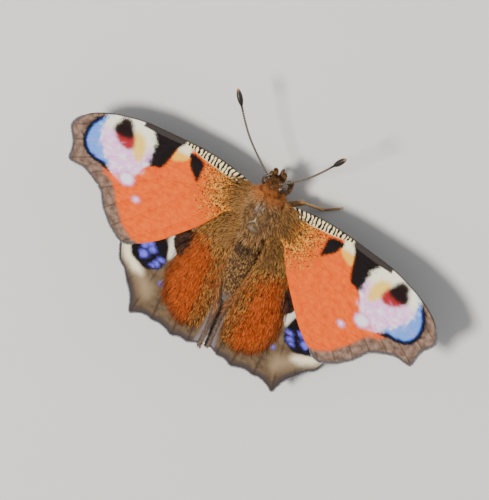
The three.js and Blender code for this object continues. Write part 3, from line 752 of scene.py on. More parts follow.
def skin_material():
    graph = Graph("body_skin_coat", roughness=0.5, Specular_IOR_Level=0.4)
    where = graph.place()
    fine = graph.noise(where, 0.13, 3.0, 0.6)
    soft = graph.noise(where, 0.8, 3.0, 0.6)
    under = graph.mix((soft + fine * 0.4).ramp(0.45, 0.9), srgb(66, 46, 30), srgb(118, 90, 60))
    bald = graph.attribute("bald") + (soft - 0.5) * 0.3
    bronze = graph.mix(soft.ramp(0.3, 0.75), srgb(66, 48, 32), srgb(146, 108, 62))
    colour = graph.mix(inside(bald, 0.16), under, bronze)
    # Painted highlight: a pale line along the Y groove and its arms stands for the sun's glint on the
    # groove's edges
    colour = graph.mix(graph.attribute("groove") * 0.8, colour, srgb(200, 186, 160))
    colour = graph.mix(graph.attribute("shield"), colour, srgb(132, 120, 102))
    shine = graph.node("ShaderNodeMapRange", {"clamp": True}, inside(bald, 0.3), 0.0, 1.0, 0.72, 0.3)
    return graph.finish(colour, roughness=shine, normal=graph.bump(fine, 0.5, 0.05))


def body_skin(material):
    rows = np.array(SECTIONS)
    share = np.linspace(0, 1, SKIN_RINGS)
    line = through(SECTIONS, 4000)
    y = np.interp(share, np.linspace(0, 1, len(line)), line[:, 0])
    y = np.clip(np.maximum.accumulate(y), rows[0, 0], rows[-1, 0])
    angle = np.linspace(0, 2 * np.pi, SKIN_SIDES, endpoint=False)
    grid = skin_at(angle[None, :].repeat(SKIN_RINGS, 0), y[:, None].repeat(SKIN_SIDES, 1))
    ends = np.array([[0, rows[0, 0] - 0.01, rows[0, 1]], [0, rows[-1, 0] + 0.01, rows[-1, 1]]])
    points = np.vstack([grid.reshape(-1, 3), ends])
    index = np.arange(SKIN_RINGS * SKIN_SIDES).reshape(SKIN_RINGS, SKIN_SIDES)
    nxt = np.roll(index, -1, axis=1)
    quads = np.stack([index[:-1], nxt[:-1], nxt[1:], index[1:]], axis=-1).reshape(-1, 4)[:, ::-1]
    first, last = len(points) - 2, len(points) - 1
    front_cap = [[int(index[0, k]), int(nxt[0, k]), first] for k in range(SKIN_SIDES)]
    rear_cap = [[int(nxt[-1, k]), int(index[-1, k]), last] for k in range(SKIN_SIDES)]
    piece = make_object("body_skin", points, quads.tolist() + front_cap + rear_cap, material)
    tidy_faces(piece)
    x, y = points[:, 0], points[:, 1]
    top = ease(points[:, 2], 0.2, 0.9)
    set_attribute(piece, "bald", signed_distance(points[:, :2], BALD) + 3 * (1 - top))
    # Painted highlight mask along the Y groove and its arms, which the material paints pale as a glint
    groove = bell(x, 0.07) * ease(y, 0.5, 0.7) * (1 - ease(y, 1.0, 1.3))
    arms = bell(arm_distance(x, y), 0.09) * ease(y, 0.95, 1.1) * (1 - ease(y, 2.1, 2.4))
    set_attribute(piece, "groove", np.clip(groove + arms, 0, 1) * top)
    set_attribute(piece, "shield", ease(bell(x, 1.0) * bell(y - 2.6, 0.5), 0.4, 0.7) * top)
    own(piece, ["head", "thorax", "abdomen"])


def tidy_faces(piece):
    """Turns every face outwards and shades it smooth."""
    bpy.ops.object.select_all(action="DESELECT")
    bpy.context.view_layer.objects.active = piece
    piece.select_set(True)
    bpy.ops.object.mode_set(mode="EDIT")
    bpy.ops.mesh.select_all(action="SELECT")
    bpy.ops.mesh.normals_make_consistent(inside=False)
    bpy.ops.object.mode_set(mode="OBJECT")
    bpy.ops.object.shade_smooth()
    piece.select_set(False)


# Coat of tufts

TUFT_SIDES = 3
# Shares of a tuft's width: half its breadth and half its thickness
HALF_BREADTH, HALF_THICKNESS = 0.5, 0.22
# How far a tuft rises over its line, as a share of its length
TUFT_RISE = 0.22
# Painted shade and highlight: how bright a tuft is at its root, its middle and its tip, darker at the root
# where the hairs shade each other and brighter at the tip
TUFT_ROOT_SHADE_TIP_HIGHLIGHT = (0.6, 1.0, 1.15)
# Each tuft's patch on the coat's map
PATCH = 0.003


def tufts(name, roots, along, over, length, width, colours, where_on_map, droop=0.25):
    """Thin solid tufts, each a three-sided blade that leaves the skin along one way and bends over.

    roots and the unit directions along (the lie of the coat) and over (away from the skin) are in
    millimetres; the droop is how far the tip comes back to the skin as a share of the length."""
    count = len(roots)
    side = unit(np.cross(along, over))
    length, width = (np.asarray(v, float).reshape(-1, 1) * np.ones((count, 1)) for v in (length, width))
    rings = []
    for share, thick in ((0.0, 0.8), (0.55, 1.0)):
        middle = roots + along * length * share + over * length * (TUFT_RISE * share - droop * share ** 2)
        for k in range(TUFT_SIDES):
            angle = 2 * math.pi * k / TUFT_SIDES + math.pi / 2
            out = side * math.cos(angle) * HALF_BREADTH + over * math.sin(angle) * HALF_THICKNESS
            rings.append(middle + out * width * thick)
    rings.append(roots + along * length + over * length * (TUFT_RISE - droop))
    verts = np.stack(rings, axis=1)
    per = verts.shape[1]
    faces = []
    for a in range(TUFT_SIDES):
        b = (a + 1) % TUFT_SIDES
        faces += [(a, b, b + TUFT_SIDES), (a, b + TUFT_SIDES, a + TUFT_SIDES)]
    faces += [(TUFT_SIDES + k, TUFT_SIDES + (k + 1) % TUFT_SIDES, per - 1) for k in range(TUFT_SIDES)]
    faces.append((2, 1, 0))
    faces = np.array(faces)
    a, b, c = (verts[0][faces[0]][k] for k in range(3))
    centre = verts[0][:2 * TUFT_SIDES].mean(axis=0)
    if np.dot(np.cross(b - a, c - a), a - centre) < 0:
        faces = faces[:, ::-1]
    everything = (faces[None] + per * np.arange(count)[:, None, None]).reshape(-1, 3)
    piece = make_object(name, verts.reshape(-1, 3), everything, coat_material(name))
    # Painted shade darkens each tuft's root ring and a painted highlight brightens its tip
    shade = np.repeat(TUFT_ROOT_SHADE_TIP_HIGHLIGHT, (TUFT_SIDES, TUFT_SIDES, 1))
    shade_painted_colours = np.clip(colours[:, None, :] * shade[None, :, None], 0, 1)
    set_colours(piece, "coat_colour", shade_painted_colours.reshape(-1, 3))
    turn = 2 * np.pi * np.arange(per) / per
    spread = np.stack([np.cos(turn), np.sin(turn)], axis=1)
    on_map = where_on_map[:, None, :] + spread[None] * PATCH / 2
    set_uv(piece, "OFBake", on_map.reshape(-1, 2))
    own(piece)


def coat_material(name):
    graph = Graph(name + "_hair", roughness=0.6, Specular_IOR_Level=0.2)
    colour = graph.attribute("coat_colour", out="Color")
    tone = graph.noise(graph.place(), 0.35, 2.0, 0.6)
    colour = graph.mix(tone.ramp(0.62, 0.36) * 0.25, colour, srgb(46, 30, 20))
    return graph.finish(colour)


def linear(*colour):
    """A screen colour as an array of three linear values."""
    return np.array(srgb(*colour)[:3])


def blend(share, first, second):
    """Goes from the first colours to the second, by each tuft's share from 0 to 1."""
    return first + (second - first) * np.clip(share, 0, 1)[:, None]


def scatter_on_body(dice, count, low, high, keep):
    """Random places on the skin between two values of y, kept where keep(place) is over a throw."""
    angle = dice.uniform(0, 2 * np.pi, count)
    y = dice.uniform(low, high, count)
    place = skin_at(angle, y)
    kept = dice.uniform(0, 1, count) < keep(place)
    angle, y, place = angle[kept], y[kept], place[kept]
    return angle, y, place, skin_normal(angle, y)


def lie(dice, normal, way, stand, spread=0.2):
    """The direction of each tuft: along the skin the given way, standing off it by some share."""
    way = np.asarray(way, float) * np.ones_like(normal)
    flat = way - normal * np.sum(way * normal, axis=1, keepdims=True)
    stand = np.asarray(stand, float).reshape(-1, 1)
    return unit(unit(flat) * (1 - stand) + normal * stand + dice.normal(0, spread, normal.shape))


def body_tufts(name, place, normal, angle, sunk, along, length, width, colours):
    """Tufts on the skin, mapped round the body and from head to tail, with their roots a little in it."""
    chart = np.stack([angle / (2 * np.pi), (place[:, 1] + HEAD_REACH) / BODY_LENGTH], axis=1)
    tufts(name, place - normal * sunk, along, normal, length, width, colours, chart)


def thorax_coat():
    dice = np.random.default_rng(11)

    def keep(place):
        bald = signed_distance(place[:, :2], BALD)
        on_top = place[:, 2] > 0.4
        return np.where(on_top, ease(bald, -0.15, 0.45) + 0.01, 1.0)

    angle, y, place, normal = scatter_on_body(dice, 13500, -3.5, 4.6, keep)
    sideways = 0.6 * np.sign(place[:, 0]) * ease(3.0 - y, 0.0, 1.5)
    way = np.stack([sideways, np.ones(len(y)), np.full(len(y), -0.15)], axis=1)
    along = lie(dice, normal, way, 0.18 + 0.1 * dice.uniform(size=len(y)), 0.16)
    length = dice.uniform(0.8, 1.5, len(y)) * (1 - 0.25 * ease(place[:, 2], 0.6, 1.6))
    tan, olive, dark = linear(224, 176, 120), linear(136, 94, 54), linear(66, 42, 26)
    collar = linear(196, 120, 62)
    tone = dice.uniform(0, 1, len(y))
    colours = blend(tone, olive, tan)
    colours = blend(ease(tone, 0.86, 0.9), colours, dark)
    colours = blend((1 - ease(y, -3.2, -2.0)) * 0.8, colours, collar)
    colours = blend(ease(-place[:, 2], 0.6, 2.0) * 0.55, colours, linear(90, 68, 50))
    body_tufts("thorax_fur", place, normal, angle, 0.05, along, length, 0.1, colours)


def shield_coat():
    """The short thin hairs over the bare shield."""
    dice = np.random.default_rng(12)

    def keep(place):
        bald = signed_distance(place[:, :2], BALD)
        return np.where((bald < 0.1) & (place[:, 2] > 0.6), 0.5, 0.0)

    angle, y, place, normal = scatter_on_body(dice, 6000, -2.3, 3.2, keep)
    way = np.stack([0.2 * np.sign(place[:, 0]), np.ones(len(y)), 0 * y], axis=1)
    along = lie(dice, normal, way, 0.2, 0.15)
    colours = blend(dice.uniform(0, 1, len(y)), linear(74, 52, 34), linear(160, 122, 78))
    length = dice.uniform(0.3, 0.65, len(y))
    body_tufts("shield_hairs", place, normal, angle, 0.03, along, length, 0.045, colours)


def head_coat():
    dice = np.random.default_rng(13)

    def keep(place):
        sideways = (np.abs(place[:, 0]) - 1.42) / 0.8
        height = np.abs(place[:, 2])
        in_eye = (np.hypot(sideways, height) < 0.95) & (np.abs(place[:, 1] + 4.85) < 0.85)
        return np.where(in_eye, 0.0, 1.0)

    angle, y, place, normal = scatter_on_body(dice, 6800, -6.0, -3.2, keep)
    back = ease(y, -5.2, -4.2)
    way = np.stack([0.25 * np.sign(place[:, 0]), -1 + 2.0 * back, 0.6 * (1 - back)], axis=1)
    along = lie(dice, normal, way, 0.3 + 0.3 * ease(place[:, 2], 0.5, 1.2) * (1 - back), 0.18)
    length = dice.uniform(0.35, 0.7, len(y)) + 0.35 * back
    tone = dice.uniform(0, 1, len(y))
    colours = blend(tone, linear(94, 62, 38), linear(176, 120, 70))
    colours = blend(ease(tone, 0.8, 0.85), colours, linear(52, 36, 26))
    colours = blend(back * 0.7, colours, linear(206, 124, 60))
    body_tufts("head_fur", place, normal, angle, 0.04, along, length, 0.07, colours)


def abdomen_coat():
    dice = np.random.default_rng(14)
    angle, y, place, normal = scatter_on_body(dice, 15500, 4.0, 16.2, lambda place: np.ones(len(place)))
    way = np.stack([0 * y, np.ones(len(y)), 0 * y], axis=1)
    along = lie(dice, normal, way, 0.1, 0.13)
    front = 1 - ease(y, 4.4, 6.0)
    length = dice.uniform(0.35, 0.6, len(y)) + 0.7 * front
    tone = dice.uniform(0, 1, len(y))
    colours = blend(tone, linear(96, 62, 38), linear(150, 104, 62))
    colours = blend(ease(tone, 0.55, 0.6), colours, linear(222, 176, 108))
    colours = blend(ease(tone, 0.8, 0.84), colours, linear(50, 34, 26))
    patch = bell(y - 6.0, 1.3) * ease(place[:, 2], 0.1, 0.8)
    colours = blend(patch * 0.8, colours, linear(48, 36, 28))
    colours = blend(ease(y, 13.2, 15.6) * 0.75, colours, linear(150, 140, 134))
    colours = blend(ease(-place[:, 2], 0.9, 2.2) * 0.5, colours, linear(76, 54, 42))
    body_tufts("abdomen_fur", place, normal, angle, 0.04, along, length, 0.11, colours)


# Limbs and feelers

def tube(name, path, radii, material, slot, nodes=(), sides=18):
    """A closed round tube along a path, with the millimetres from its root as an attribute."""
    path = np.asarray(path, float)
    radii = np.asarray(radii, float)
    ahead = unit(np.gradient(path, axis=0))
    across = np.cross(ahead[0], [0.31, 0.17, 0.93])
    rings = []
    for place, way, radius in zip(path, ahead, radii):
        across = unit(across - way * np.dot(across, way))
        up = np.cross(way, across)
        angle = np.linspace(0, 2 * np.pi, sides, endpoint=False)[:, None]
        rings.append(place + radius * (across * np.cos(angle) + up * np.sin(angle)))
    root = path[:1] - ahead[:1] * radii[0] * 0.5
    tip = path[-1:] + ahead[-1:] * radii[-1] * 0.7
    points = np.vstack(rings + [root, tip])
    faces = []
    for i in range(0, (len(path) - 1) * sides, sides):
        for k in range(sides):
            j = (k + 1) % sides
            faces.append([i + k, i + j, i + sides + j, i + sides + k])
    start, end = len(points) - 2, len(points) - 1
    base = (len(path) - 1) * sides
    for k in range(sides):
        j = (k + 1) % sides
        faces.append([start, j, k])
        faces.append([end, base + k, base + j])
    piece = make_object(name, points, faces, material)
    tidy_faces(piece)
    run = run_along(path)
    set_attribute(piece, "run", np.concatenate([np.repeat(run, sides), run[:1], run[-1:]]))
    own(piece, nodes)


def bent(points, count, smoothing):
    """A path along straight stretches whose corners are rounded."""
    points = np.array(points, float)
    length = run_along(points)
    path = at_each(np.linspace(0, length[-1], count), length, points)
    for _ in range(smoothing):
        path[1:-1] = (path[:-2] + 2 * path[1:-1] + path[2:]) / 4
    return path, length / length[-1]


def on_tube(dice, path, radii, count, low=0.0, high=1.0):
    """Random places on a tube with the way out of it and the way along it."""
    share = dice.uniform(low, high, count)
    at = np.linspace(0, 1, len(path))
    way = unit(at_each(share, at, np.gradient(path, axis=0)))
    out = dice.normal(size=(count, 3))
    out = unit(out - way * np.sum(out * way, axis=1, keepdims=True))
    turn = np.arctan2(out[:, 2], out[:, 0]) / (2 * np.pi) + 0.5
    place = at_each(share, at, path) + out * np.interp(share, at, radii)[:, None] * 0.9
    return place, out, way, np.stack([turn, share], axis=1)


def chitin_material(name, light, dark, ringed=False):
    graph = Graph(name, roughness=0.42, Specular_IOR_Level=0.45)
    where = graph.place()
    grain = graph.noise(where, 0.25, 3.0, 0.6)
    colour = graph.mix(grain.ramp(0.35, 0.7), light, dark)
    if ringed:
        run = graph.attribute("run")
        band = (run * (2 * math.pi / RING_LENGTH)).sine()
        on_shaft = run.ramp(11.9, 11.2)
        colour = graph.mix(band.ramp(0.5, 0.9) * on_shaft, colour, srgb(186, 172, 150))
        colour = graph.mix(run.ramp(14.2, 14.7), colour, srgb(168, 118, 66))
    return graph.finish(colour, normal=graph.bump(grain, 0.35, 0.04))


# Places of the animal's left side; the right side mirrors them
EYE_PLACE = (1.3, -4.85, 0.15)
EYE_RADII = (0.74, 0.92, 1.0)
ANTENNA_START = (0.5, -5.0, 0.6)
ANTENNA_END = {1: (10.1, -15.8, 2.8), -1: (-9.1, -15.6, 5.6)}
ANTENNA_BOW = (0.5, 0.3, 0.5)
ANTENNA_RADIUS, CLUB_RADIUS, CLUB_LENGTH = 0.15, 0.42, 2.5
COIL_MIDDLE, COIL_RADIUS, COIL_TURNS, TONGUE_RADIUS = (-6.35, -1.05), 0.8, 1.2, 0.16
PALP = [(0.72, -5.3, -0.85), (0.72, -6.45, -0.35), (0.66, -7.05, 0.5)]
FORELEG = [(0.9, -2.5, -1.6), (1.65, -3.7, -2.5), (1.7, -4.9, -2.7), (1.45, -5.2, -1.9)]
LEGS = {
    "midleg_right": [(1.0, -0.7, -2.3), (4.4, -3.4, -2.5), (6.9, -2.7, -5.78), (9.3, -4.35, -5.84)],
    "midleg_left": [(1.0, -0.7, -2.3), (4.3, -1.3, -2.8), (6.8, 0.7, -5.78), (9.8, 0.92, -5.84)],
    "hindleg": [(1.0, 1.8, -2.3), (4.1, 5.4, -2.75), (6.2, 9.3, -5.78), (7.65, 12.9, -5.84)],
}
FEMUR_RADIUS, TIBIA_RADIUS, TARSUS_RADIUS = 0.31, 0.22, 0.15
LIMB_STEPS = 260
RING_LENGTH = 0.36


def mirrored(points, side):
    """Places of the animal's left side, for side 1, or their mirror images, for side -1."""
    return np.array(points, float) * np.array([side, 1, 1])


def eye(side, material):
    name = side_name(side)
    bpy.ops.object.select_all(action="DESELECT")
    bpy.ops.mesh.primitive_uv_sphere_add(
        segments=72, ring_count=40, radius=MM,
        location=to_row((side * EYE_PLACE[0], EYE_PLACE[1], EYE_PLACE[2])), scale=EYE_RADII)
    piece = bpy.context.active_object
    piece.name = "eye_" + name + "_dome"
    bpy.ops.object.transform_apply(location=True, rotation=True, scale=True)
    bpy.ops.object.shade_smooth()
    piece.data.materials.append(material)
    own(piece, ["eye_" + name])


def eye_material():
    graph = Graph("eye_facets", roughness=0.16, Specular_IOR_Level=0.6, Coat_Weight=0.4, Coat_Roughness=0.1)
    where = graph.place()
    facet = graph.node("ShaderNodeTexVoronoi", {"feature": "DISTANCE_TO_EDGE"}, out="Distance", Vector=where,
                       Scale=1 / (0.06 * MM))
    tone = graph.noise(where, 0.7, 2.0, 0.5)
    colour = graph.mix(tone.ramp(0.4, 0.65), srgb(44, 26, 18), srgb(84, 52, 32))
    return graph.finish(colour, normal=graph.bump(facet.ramp(0.0, 0.25), 0.5, 0.02))


def antenna(side, material):
    name = side_name(side)
    start, end = mirrored([ANTENNA_START], side)[0], np.array(ANTENNA_END[side])
    middle = (start + end) / 2 + mirrored([ANTENNA_BOW], side)[0]
    path = through([start, middle, end], LIMB_STEPS)
    run = np.linspace(0, np.linalg.norm(end - start), LIMB_STEPS)
    club = np.clip((run - run[-1] + CLUB_LENGTH) / CLUB_LENGTH, 0, 1)
    swell = np.maximum(np.sin(np.pi * club ** 0.85 * 0.88), 0)
    joints = 0.012 * np.abs(np.sin(run * np.pi / RING_LENGTH))
    knob = 0.16 * bell(run, 0.3)
    radii = ANTENNA_RADIUS + (CLUB_RADIUS - ANTENNA_RADIUS) * swell + joints + knob - 0.1 * club ** 8
    tube("antenna_%s_ringed" % name, path, radii, material, "antenna", ["antenna_" + name])


def tongue(material):
    turn = np.linspace(0, 1, 200)
    angle = math.pi / 2 + 2 * math.pi * COIL_TURNS * turn
    radius = COIL_RADIUS - (COIL_RADIUS - 0.25) * turn
    y, z = COIL_MIDDLE
    path = np.stack([0 * turn, y + radius * np.sin(angle), z + radius * np.cos(angle)], axis=1)
    ridges = 0.012 * np.abs(np.sin(turn * 120))
    tube("tongue_coil", path, TONGUE_RADIUS * (1 - 0.25 * turn) + ridges, material, "limb", ["proboscis"])


def palp(dice, side, material):
    name = side_name(side)
    path = through(mirrored(PALP, side), 60)
    share = np.linspace(0, 1, 60)
    radii = 0.3 * (0.8 + 0.6 * share - 1.1 * share ** 2)
    tube("palp_%s_core" % name, path, radii, material, "fur", ["palp_" + name])
    place, out, way, chart = on_tube(dice, path, radii, 1500)
    along = unit(way * 0.82 + out * 0.3 + dice.normal(0, 0.1, out.shape))
    tone = dice.uniform(0, 1, len(out))
    colours = blend(tone, linear(130, 88, 52), linear(224, 168, 108))
    colours = blend(ease(tone, 0.8, 0.85), colours, linear(50, 34, 24))
    length = dice.uniform(0.25, 0.5, len(out))
    tufts("palp_%s_fur" % name, place, along, out, length, 0.055, colours, chart)


def leg(dice, kind, joints, side, material):
    name = kind + "_" + side_name(side)
    path, corners = bent(mirrored(joints, side), LIMB_STEPS, 26)
    share = np.linspace(0, 1, LIMB_STEPS)
    knee, heel = corners[1], corners[2]
    femur = FEMUR_RADIUS * (0.8 + 0.35 * np.sin(np.pi * np.clip(share / knee, 0, 1)))
    tibia = TIBIA_RADIUS * (0.9 + 0.2 * (share - knee) / (heel - knee))
    beads = ((share - heel) / (1 - heel) * 5) % 1.0
    tarsus = TARSUS_RADIUS * (0.82 + 0.3 * beads ** 2)
    radii = np.where(share < knee, femur, np.where(share < heel, tibia, tarsus))
    for _ in range(5):
        radii[1:-1] = (radii[:-2] + 2 * radii[1:-1] + radii[2:]) / 4
    radii[1:-1] -= 0.03 * bell(share[1:-1] - knee, 0.012)
    nodes = [name + end for end in ("_femur", "_tibia", "_tarsus")]
    tube(name + "_limb", path, radii, material, "limb", nodes)
    place, out, way, chart = on_tube(dice, path, radii, 1500, 0.04, 0.97)
    lifted = (out[:, 2] > -0.2) | (chart[:, 1] < heel * 0.95)
    place, out, way, chart = place[lifted], out[lifted], way[lifted], chart[lifted]
    hairy = 1 - ease(chart[:, 1], knee * 0.9, knee * 1.1)
    along = unit(way * 0.86 + out * 0.32 + dice.normal(0, 0.1, out.shape))
    tone = dice.uniform(0, 1, len(out))
    colours = blend(tone, linear(150, 108, 66), linear(222, 178, 124))
    length = 0.14 + 0.1 * dice.uniform(size=len(out)) + 0.42 * hairy
    tufts(name + "_hairs", place, along, out, length, 0.035 + 0.02 * hairy, colours, chart)
    claws(name, path)


def claws(name, path):
    """Two hooked claws at the foot's tip."""
    ahead = unit((path[-1] - path[-6]) * np.array([1, 1, 0]))
    across = np.array([-ahead[1], ahead[0], 0])
    ways = unit(np.array([ahead * 0.85 + across * spread for spread in (0.45, -0.45)]))
    roots = path[-1] + np.array([across * 0.05, -across * 0.05]) + np.array([0, 0, -0.02])
    over = np.tile([0.0, 0.0, 1.0], (2, 1))
    colours = np.tile(linear(40, 28, 20), (2, 1))
    chart = np.array([[0.2, 0.99], [0.8, 0.99]])
    tufts(name + "_claws", roots, ways, over, 0.34, 0.08, colours, chart, 0.5)


def foreleg(dice, side, material):
    name = "foreleg_" + side_name(side)
    path = through(mirrored(FORELEG, side), 80)
    radii = np.linspace(0.24, 0.17, 80)
    tube(name + "_limb", path, radii, material, "limb", [name])
    place, out, way, chart = on_tube(dice, path, radii, 900)
    along = unit(way * 0.75 + out * 0.5 + dice.normal(0, 0.14, out.shape))
    colours = blend(dice.uniform(0, 1, len(out)), linear(92, 66, 44), linear(186, 140, 92))
    length = dice.uniform(0.3, 0.6, len(out))
    tufts(name + "_hairs", place, along, out, length, 0.05, colours, chart)


# Hairs and fringes of the wings

def on_wing(name, kind, plan, raised=0.1):
    """Places on the upper face of a wing for points of its plane."""
    spec = WINGS[kind]
    side = 1 if name.endswith("left") else -1
    height, _ = wing_height(plan, spec, kind == "hindwing")
    return lift(plan, height + raised, spec["root"], POSE[name], side)


def wing_hairs(name, kind, piece_name, plan, aim, length, width, colours, stand, droop=0.2):
    """Hairs on a wing: aim is each one's way in the wing's plane."""
    here = on_wing(name, kind, plan)
    there = on_wing(name, kind, plan + aim * 0.2)
    along = there - here
    along[:, 2] = np.clip(along[:, 2], -0.03, 0.03)
    over = np.tile([0.0, 0.0, 1.0], (len(plan), 1))
    along = unit(unit(along) + over * stand)
    chart = (plan + 5) / WING_MAP_SIZE
    tufts(piece_name, here, along, over, length, width, colours, chart, droop)


def scattered(dice, outline, count):
    """Random points inside an outline of the wing's plane."""
    loop = np.array(outline)
    points = dice.uniform(loop.min(axis=0), loop.max(axis=0), (count, 2))
    return points[signed_distance(points, outline) < 0]


def field_hairs(dice, name):
    """The long silky hairs of the hindwing's rust-red field and of its dark mark."""
    around = [(-1.1, -0.8), (7.4, -0.8), (7.4, 19.4), (-1.8, 19.4)]
    plan = scattered(dice, around, 17000)
    depth = signed_distance(plan, HIND_MARKS["field"]) + dice.normal(0, 0.35, len(plan))
    plan, depth = plan[depth < 0.1], depth[depth < 0.1]
    aim = unit(plan - np.array([1.0, -6.0]))
    aim += dice.normal(0, 0.08, aim.shape)
    tone = dice.uniform(0, 1, len(plan))
    colours = blend(tone, linear(204, 74, 14), linear(255, 138, 54))
    colours = blend(ease(tone, 0.85, 0.9), colours, linear(84, 28, 8))
    bearing = np.arctan2(aim[:, 0], aim[:, 1])
    streak = np.sin(bearing * 90 + dice.normal(0, 0.7, len(plan))) * np.sin(bearing * 37 + 1.0)
    colours = blend(ease(streak, 0.35, 0.9) * 0.6, colours, linear(96, 34, 10))
    colours = blend(ease(depth, -1.5, 0.0) * 0.55, colours, linear(110, 66, 34))
    basal = 1 - ease(plan[:, 1] + plan[:, 0] * 0.8 + dice.normal(0, 1.2, len(plan)), 6.0, 10.5)
    bodyward = 1 - ease(plan[:, 0] + dice.normal(0, 0.4, len(plan)), 0.2, 1.8)
    gilt = blend(ease(dice.uniform(size=len(plan)), 0.45, 0.5), linear(56, 30, 14), linear(226, 166, 84))
    pick = (dice.uniform(size=len(plan)) < np.maximum(basal, bodyward * 0.85)).astype(float)
    colours = blend(pick, colours, gilt)
    length = dice.uniform(0.9, 1.9, len(plan)) * (1 - 0.35 * pick)
    wing_hairs(name, "hindwing", name + "_silk", plan, aim, length, 0.06, colours, 0.07)
    dark = scattered(dice, HIND_MARKS["dark_tuft"], 3600)
    aim = np.tile([0.25, 1.0], (len(dark), 1)) + dice.normal(0, 0.12, dark.shape)
    colours = blend(dice.uniform(0, 1, len(dark)), linear(26, 16, 12), linear(74, 44, 28))
    wing_hairs(name, "hindwing", name + "_dark_tuft", dark, aim, 1.3, 0.06, colours, 0.1)


def inner_hairs(dice, name):
    """The long hairs of the hindwing's inner edge, which close the space beside the abdomen."""
    back = through(WINGS["hindwing"]["back"], 400)
    pick = dice.integers(60, 400, 4600)
    plan = back[pick] + np.stack([dice.uniform(0.0, 0.7, len(pick)), 0 * pick], axis=1)
    aim = np.stack([dice.normal(-0.5, 0.28, len(pick)), np.ones(len(pick))], axis=1)
    tone = dice.uniform(0, 1, len(pick))
    colours = blend(tone, linear(62, 34, 16), linear(176, 106, 56))
    colours = blend(ease(dice.uniform(size=len(pick)), 0.8, 0.84), colours, linear(212, 160, 96))
    rearwards = ease(plan[:, 1], 11.0, 17.0)
    colours = blend(rearwards * 0.85, colours, blend(tone, linear(56, 46, 40), linear(150, 134, 124)))
    length = dice.uniform(0.9, 1.7, len(pick)) * (1 - 0.35 * rearwards)
    wing_hairs(name, "hindwing", name + "_inner_hairs", plan, aim, length, 0.06, colours, 0.02)


def base_hairs(dice, name, kind):
    """The soft hairs that run from the thorax out over the wing's base."""
    count = 2600
    rear = dice.uniform(-1.9, 2.4, count) if kind == "forewing" else dice.uniform(-1.0, 4.0, count)
    plan = np.stack([dice.exponential(0.9, count) - 1.2, rear], axis=1)
    aim = unit(np.stack([np.ones(count), 0.35 + 0.35 * rear], axis=1))
    aim += dice.normal(0, 0.15, aim.shape)
    tone = dice.uniform(0, 1, count)
    colours = blend(tone, linear(124, 80, 40), linear(236, 178, 106))
    colours = blend(ease(tone, 0.78, 0.83), colours, linear(50, 30, 16))
    length = dice.uniform(0.7, 1.5, count)
    wing_hairs(name, kind, name + "_base_hairs", plan, aim, length, 0.06, colours, 0.16)


def fringe(dice, name, kind):
    """The short scales that stand out from the wing's outer edge."""
    margin = through(WINGS[kind]["margin"], 1500)
    out = np.gradient(margin, axis=0)
    out = unit(np.stack([out[:, 1], -out[:, 0]], axis=1))
    if np.mean(np.sum(out * (margin - margin.mean(axis=0)), axis=1)) < 0:
        out = -out
    pick = dice.integers(0, 1500, 1500)
    tone = dice.uniform(0, 1, len(pick))
    colours = blend(tone, linear(60, 54, 54), linear(176, 174, 180))
    plan = margin[pick] - out[pick] * 0.12
    aim = out[pick] + dice.normal(0, 0.12, (len(pick), 2))
    length = dice.uniform(0.2, 0.36, len(pick))
    wing_hairs(name, kind, name + "_fringe", plan, aim, length, 0.07, colours, -0.02)


# Settings, operators and panel

class ButterflyProps(bpy.types.PropertyGroup):
    orange: bpy.props.FloatVectorProperty(
        name="Orange", description="The forewing's ground colour", subtype="COLOR", size=3,
        min=0, max=1, default=srgb(248, 100, 0)[:3])
    rust: bpy.props.FloatVectorProperty(
        name="Rust", description="The hindwing's hairy field", subtype="COLOR", size=3,
        min=0, max=1, default=srgb(206, 66, 0)[:3])
    brown: bpy.props.FloatVectorProperty(
        name="Border brown", description="The hindwing's outer part", subtype="COLOR", size=3,
        min=0, max=1, default=srgb(78, 62, 46)[:3])
    cream: bpy.props.FloatVectorProperty(
        name="Cream", description="The pale patch on the forewing", subtype="COLOR", size=3,
        min=0, max=1, default=srgb(255, 246, 206)[:3])
    camera_distance: bpy.props.FloatProperty(
        name="Camera distance", description="From the thorax to the camera", unit="LENGTH", default=0.26)


class BUTTERFLY_OT_wings(bpy.types.Operator):
    """Add the four scaled wings"""
    bl_idname = "butterfly.wings"
    bl_label = "Wings"

    def execute(self, context):
        props = context.scene.butterfly
        fore, hind = forewing_material(props), hindwing_material(props)
        for side in ("left", "right"):
            dress_forewing("forewing_" + side, fore)
            dress_hindwing("hindwing_" + side, hind)
        return {"FINISHED"}


class BUTTERFLY_OT_body(bpy.types.Operator):
    """Add the body's skin and its coat"""
    bl_idname = "butterfly.body"
    bl_label = "Body"

    def execute(self, context):
        body_skin(skin_material())
        thorax_coat()
        shield_coat()
        head_coat()
        abdomen_coat()
        return {"FINISHED"}


class BUTTERFLY_OT_head(bpy.types.Operator):
    """Add the eyes, palps, coiled tongue and antennae"""
    bl_idname = "butterfly.head"
    bl_label = "Head pieces"

    def execute(self, context):
        dice = np.random.default_rng(21)
        dome = eye_material()
        ringed = chitin_material("antenna_shell", srgb(40, 30, 24), srgb(22, 17, 14), ringed=True)
        shell = chitin_material("tongue_shell", srgb(104, 70, 44), srgb(60, 40, 26))
        tongue(shell)
        for side in (1, -1):
            eye(side, dome)
            antenna(side, ringed)
            palp(dice, side, shell)
        return {"FINISHED"}


class BUTTERFLY_OT_legs(bpy.types.Operator):
    """Add the forelegs and the four walking legs"""
    bl_idname = "butterfly.legs"
    bl_label = "Legs"

    def execute(self, context):
        dice = np.random.default_rng(22)
        shell = chitin_material("leg_shell", srgb(206, 160, 108), srgb(160, 116, 72))
        for side in (1, -1):
            foreleg(dice, side, shell)
            leg(dice, "midleg", LEGS["midleg_" + side_name(side)], side, shell)
            leg(dice, "hindleg", LEGS["hindleg"], side, shell)
        return {"FINISHED"}


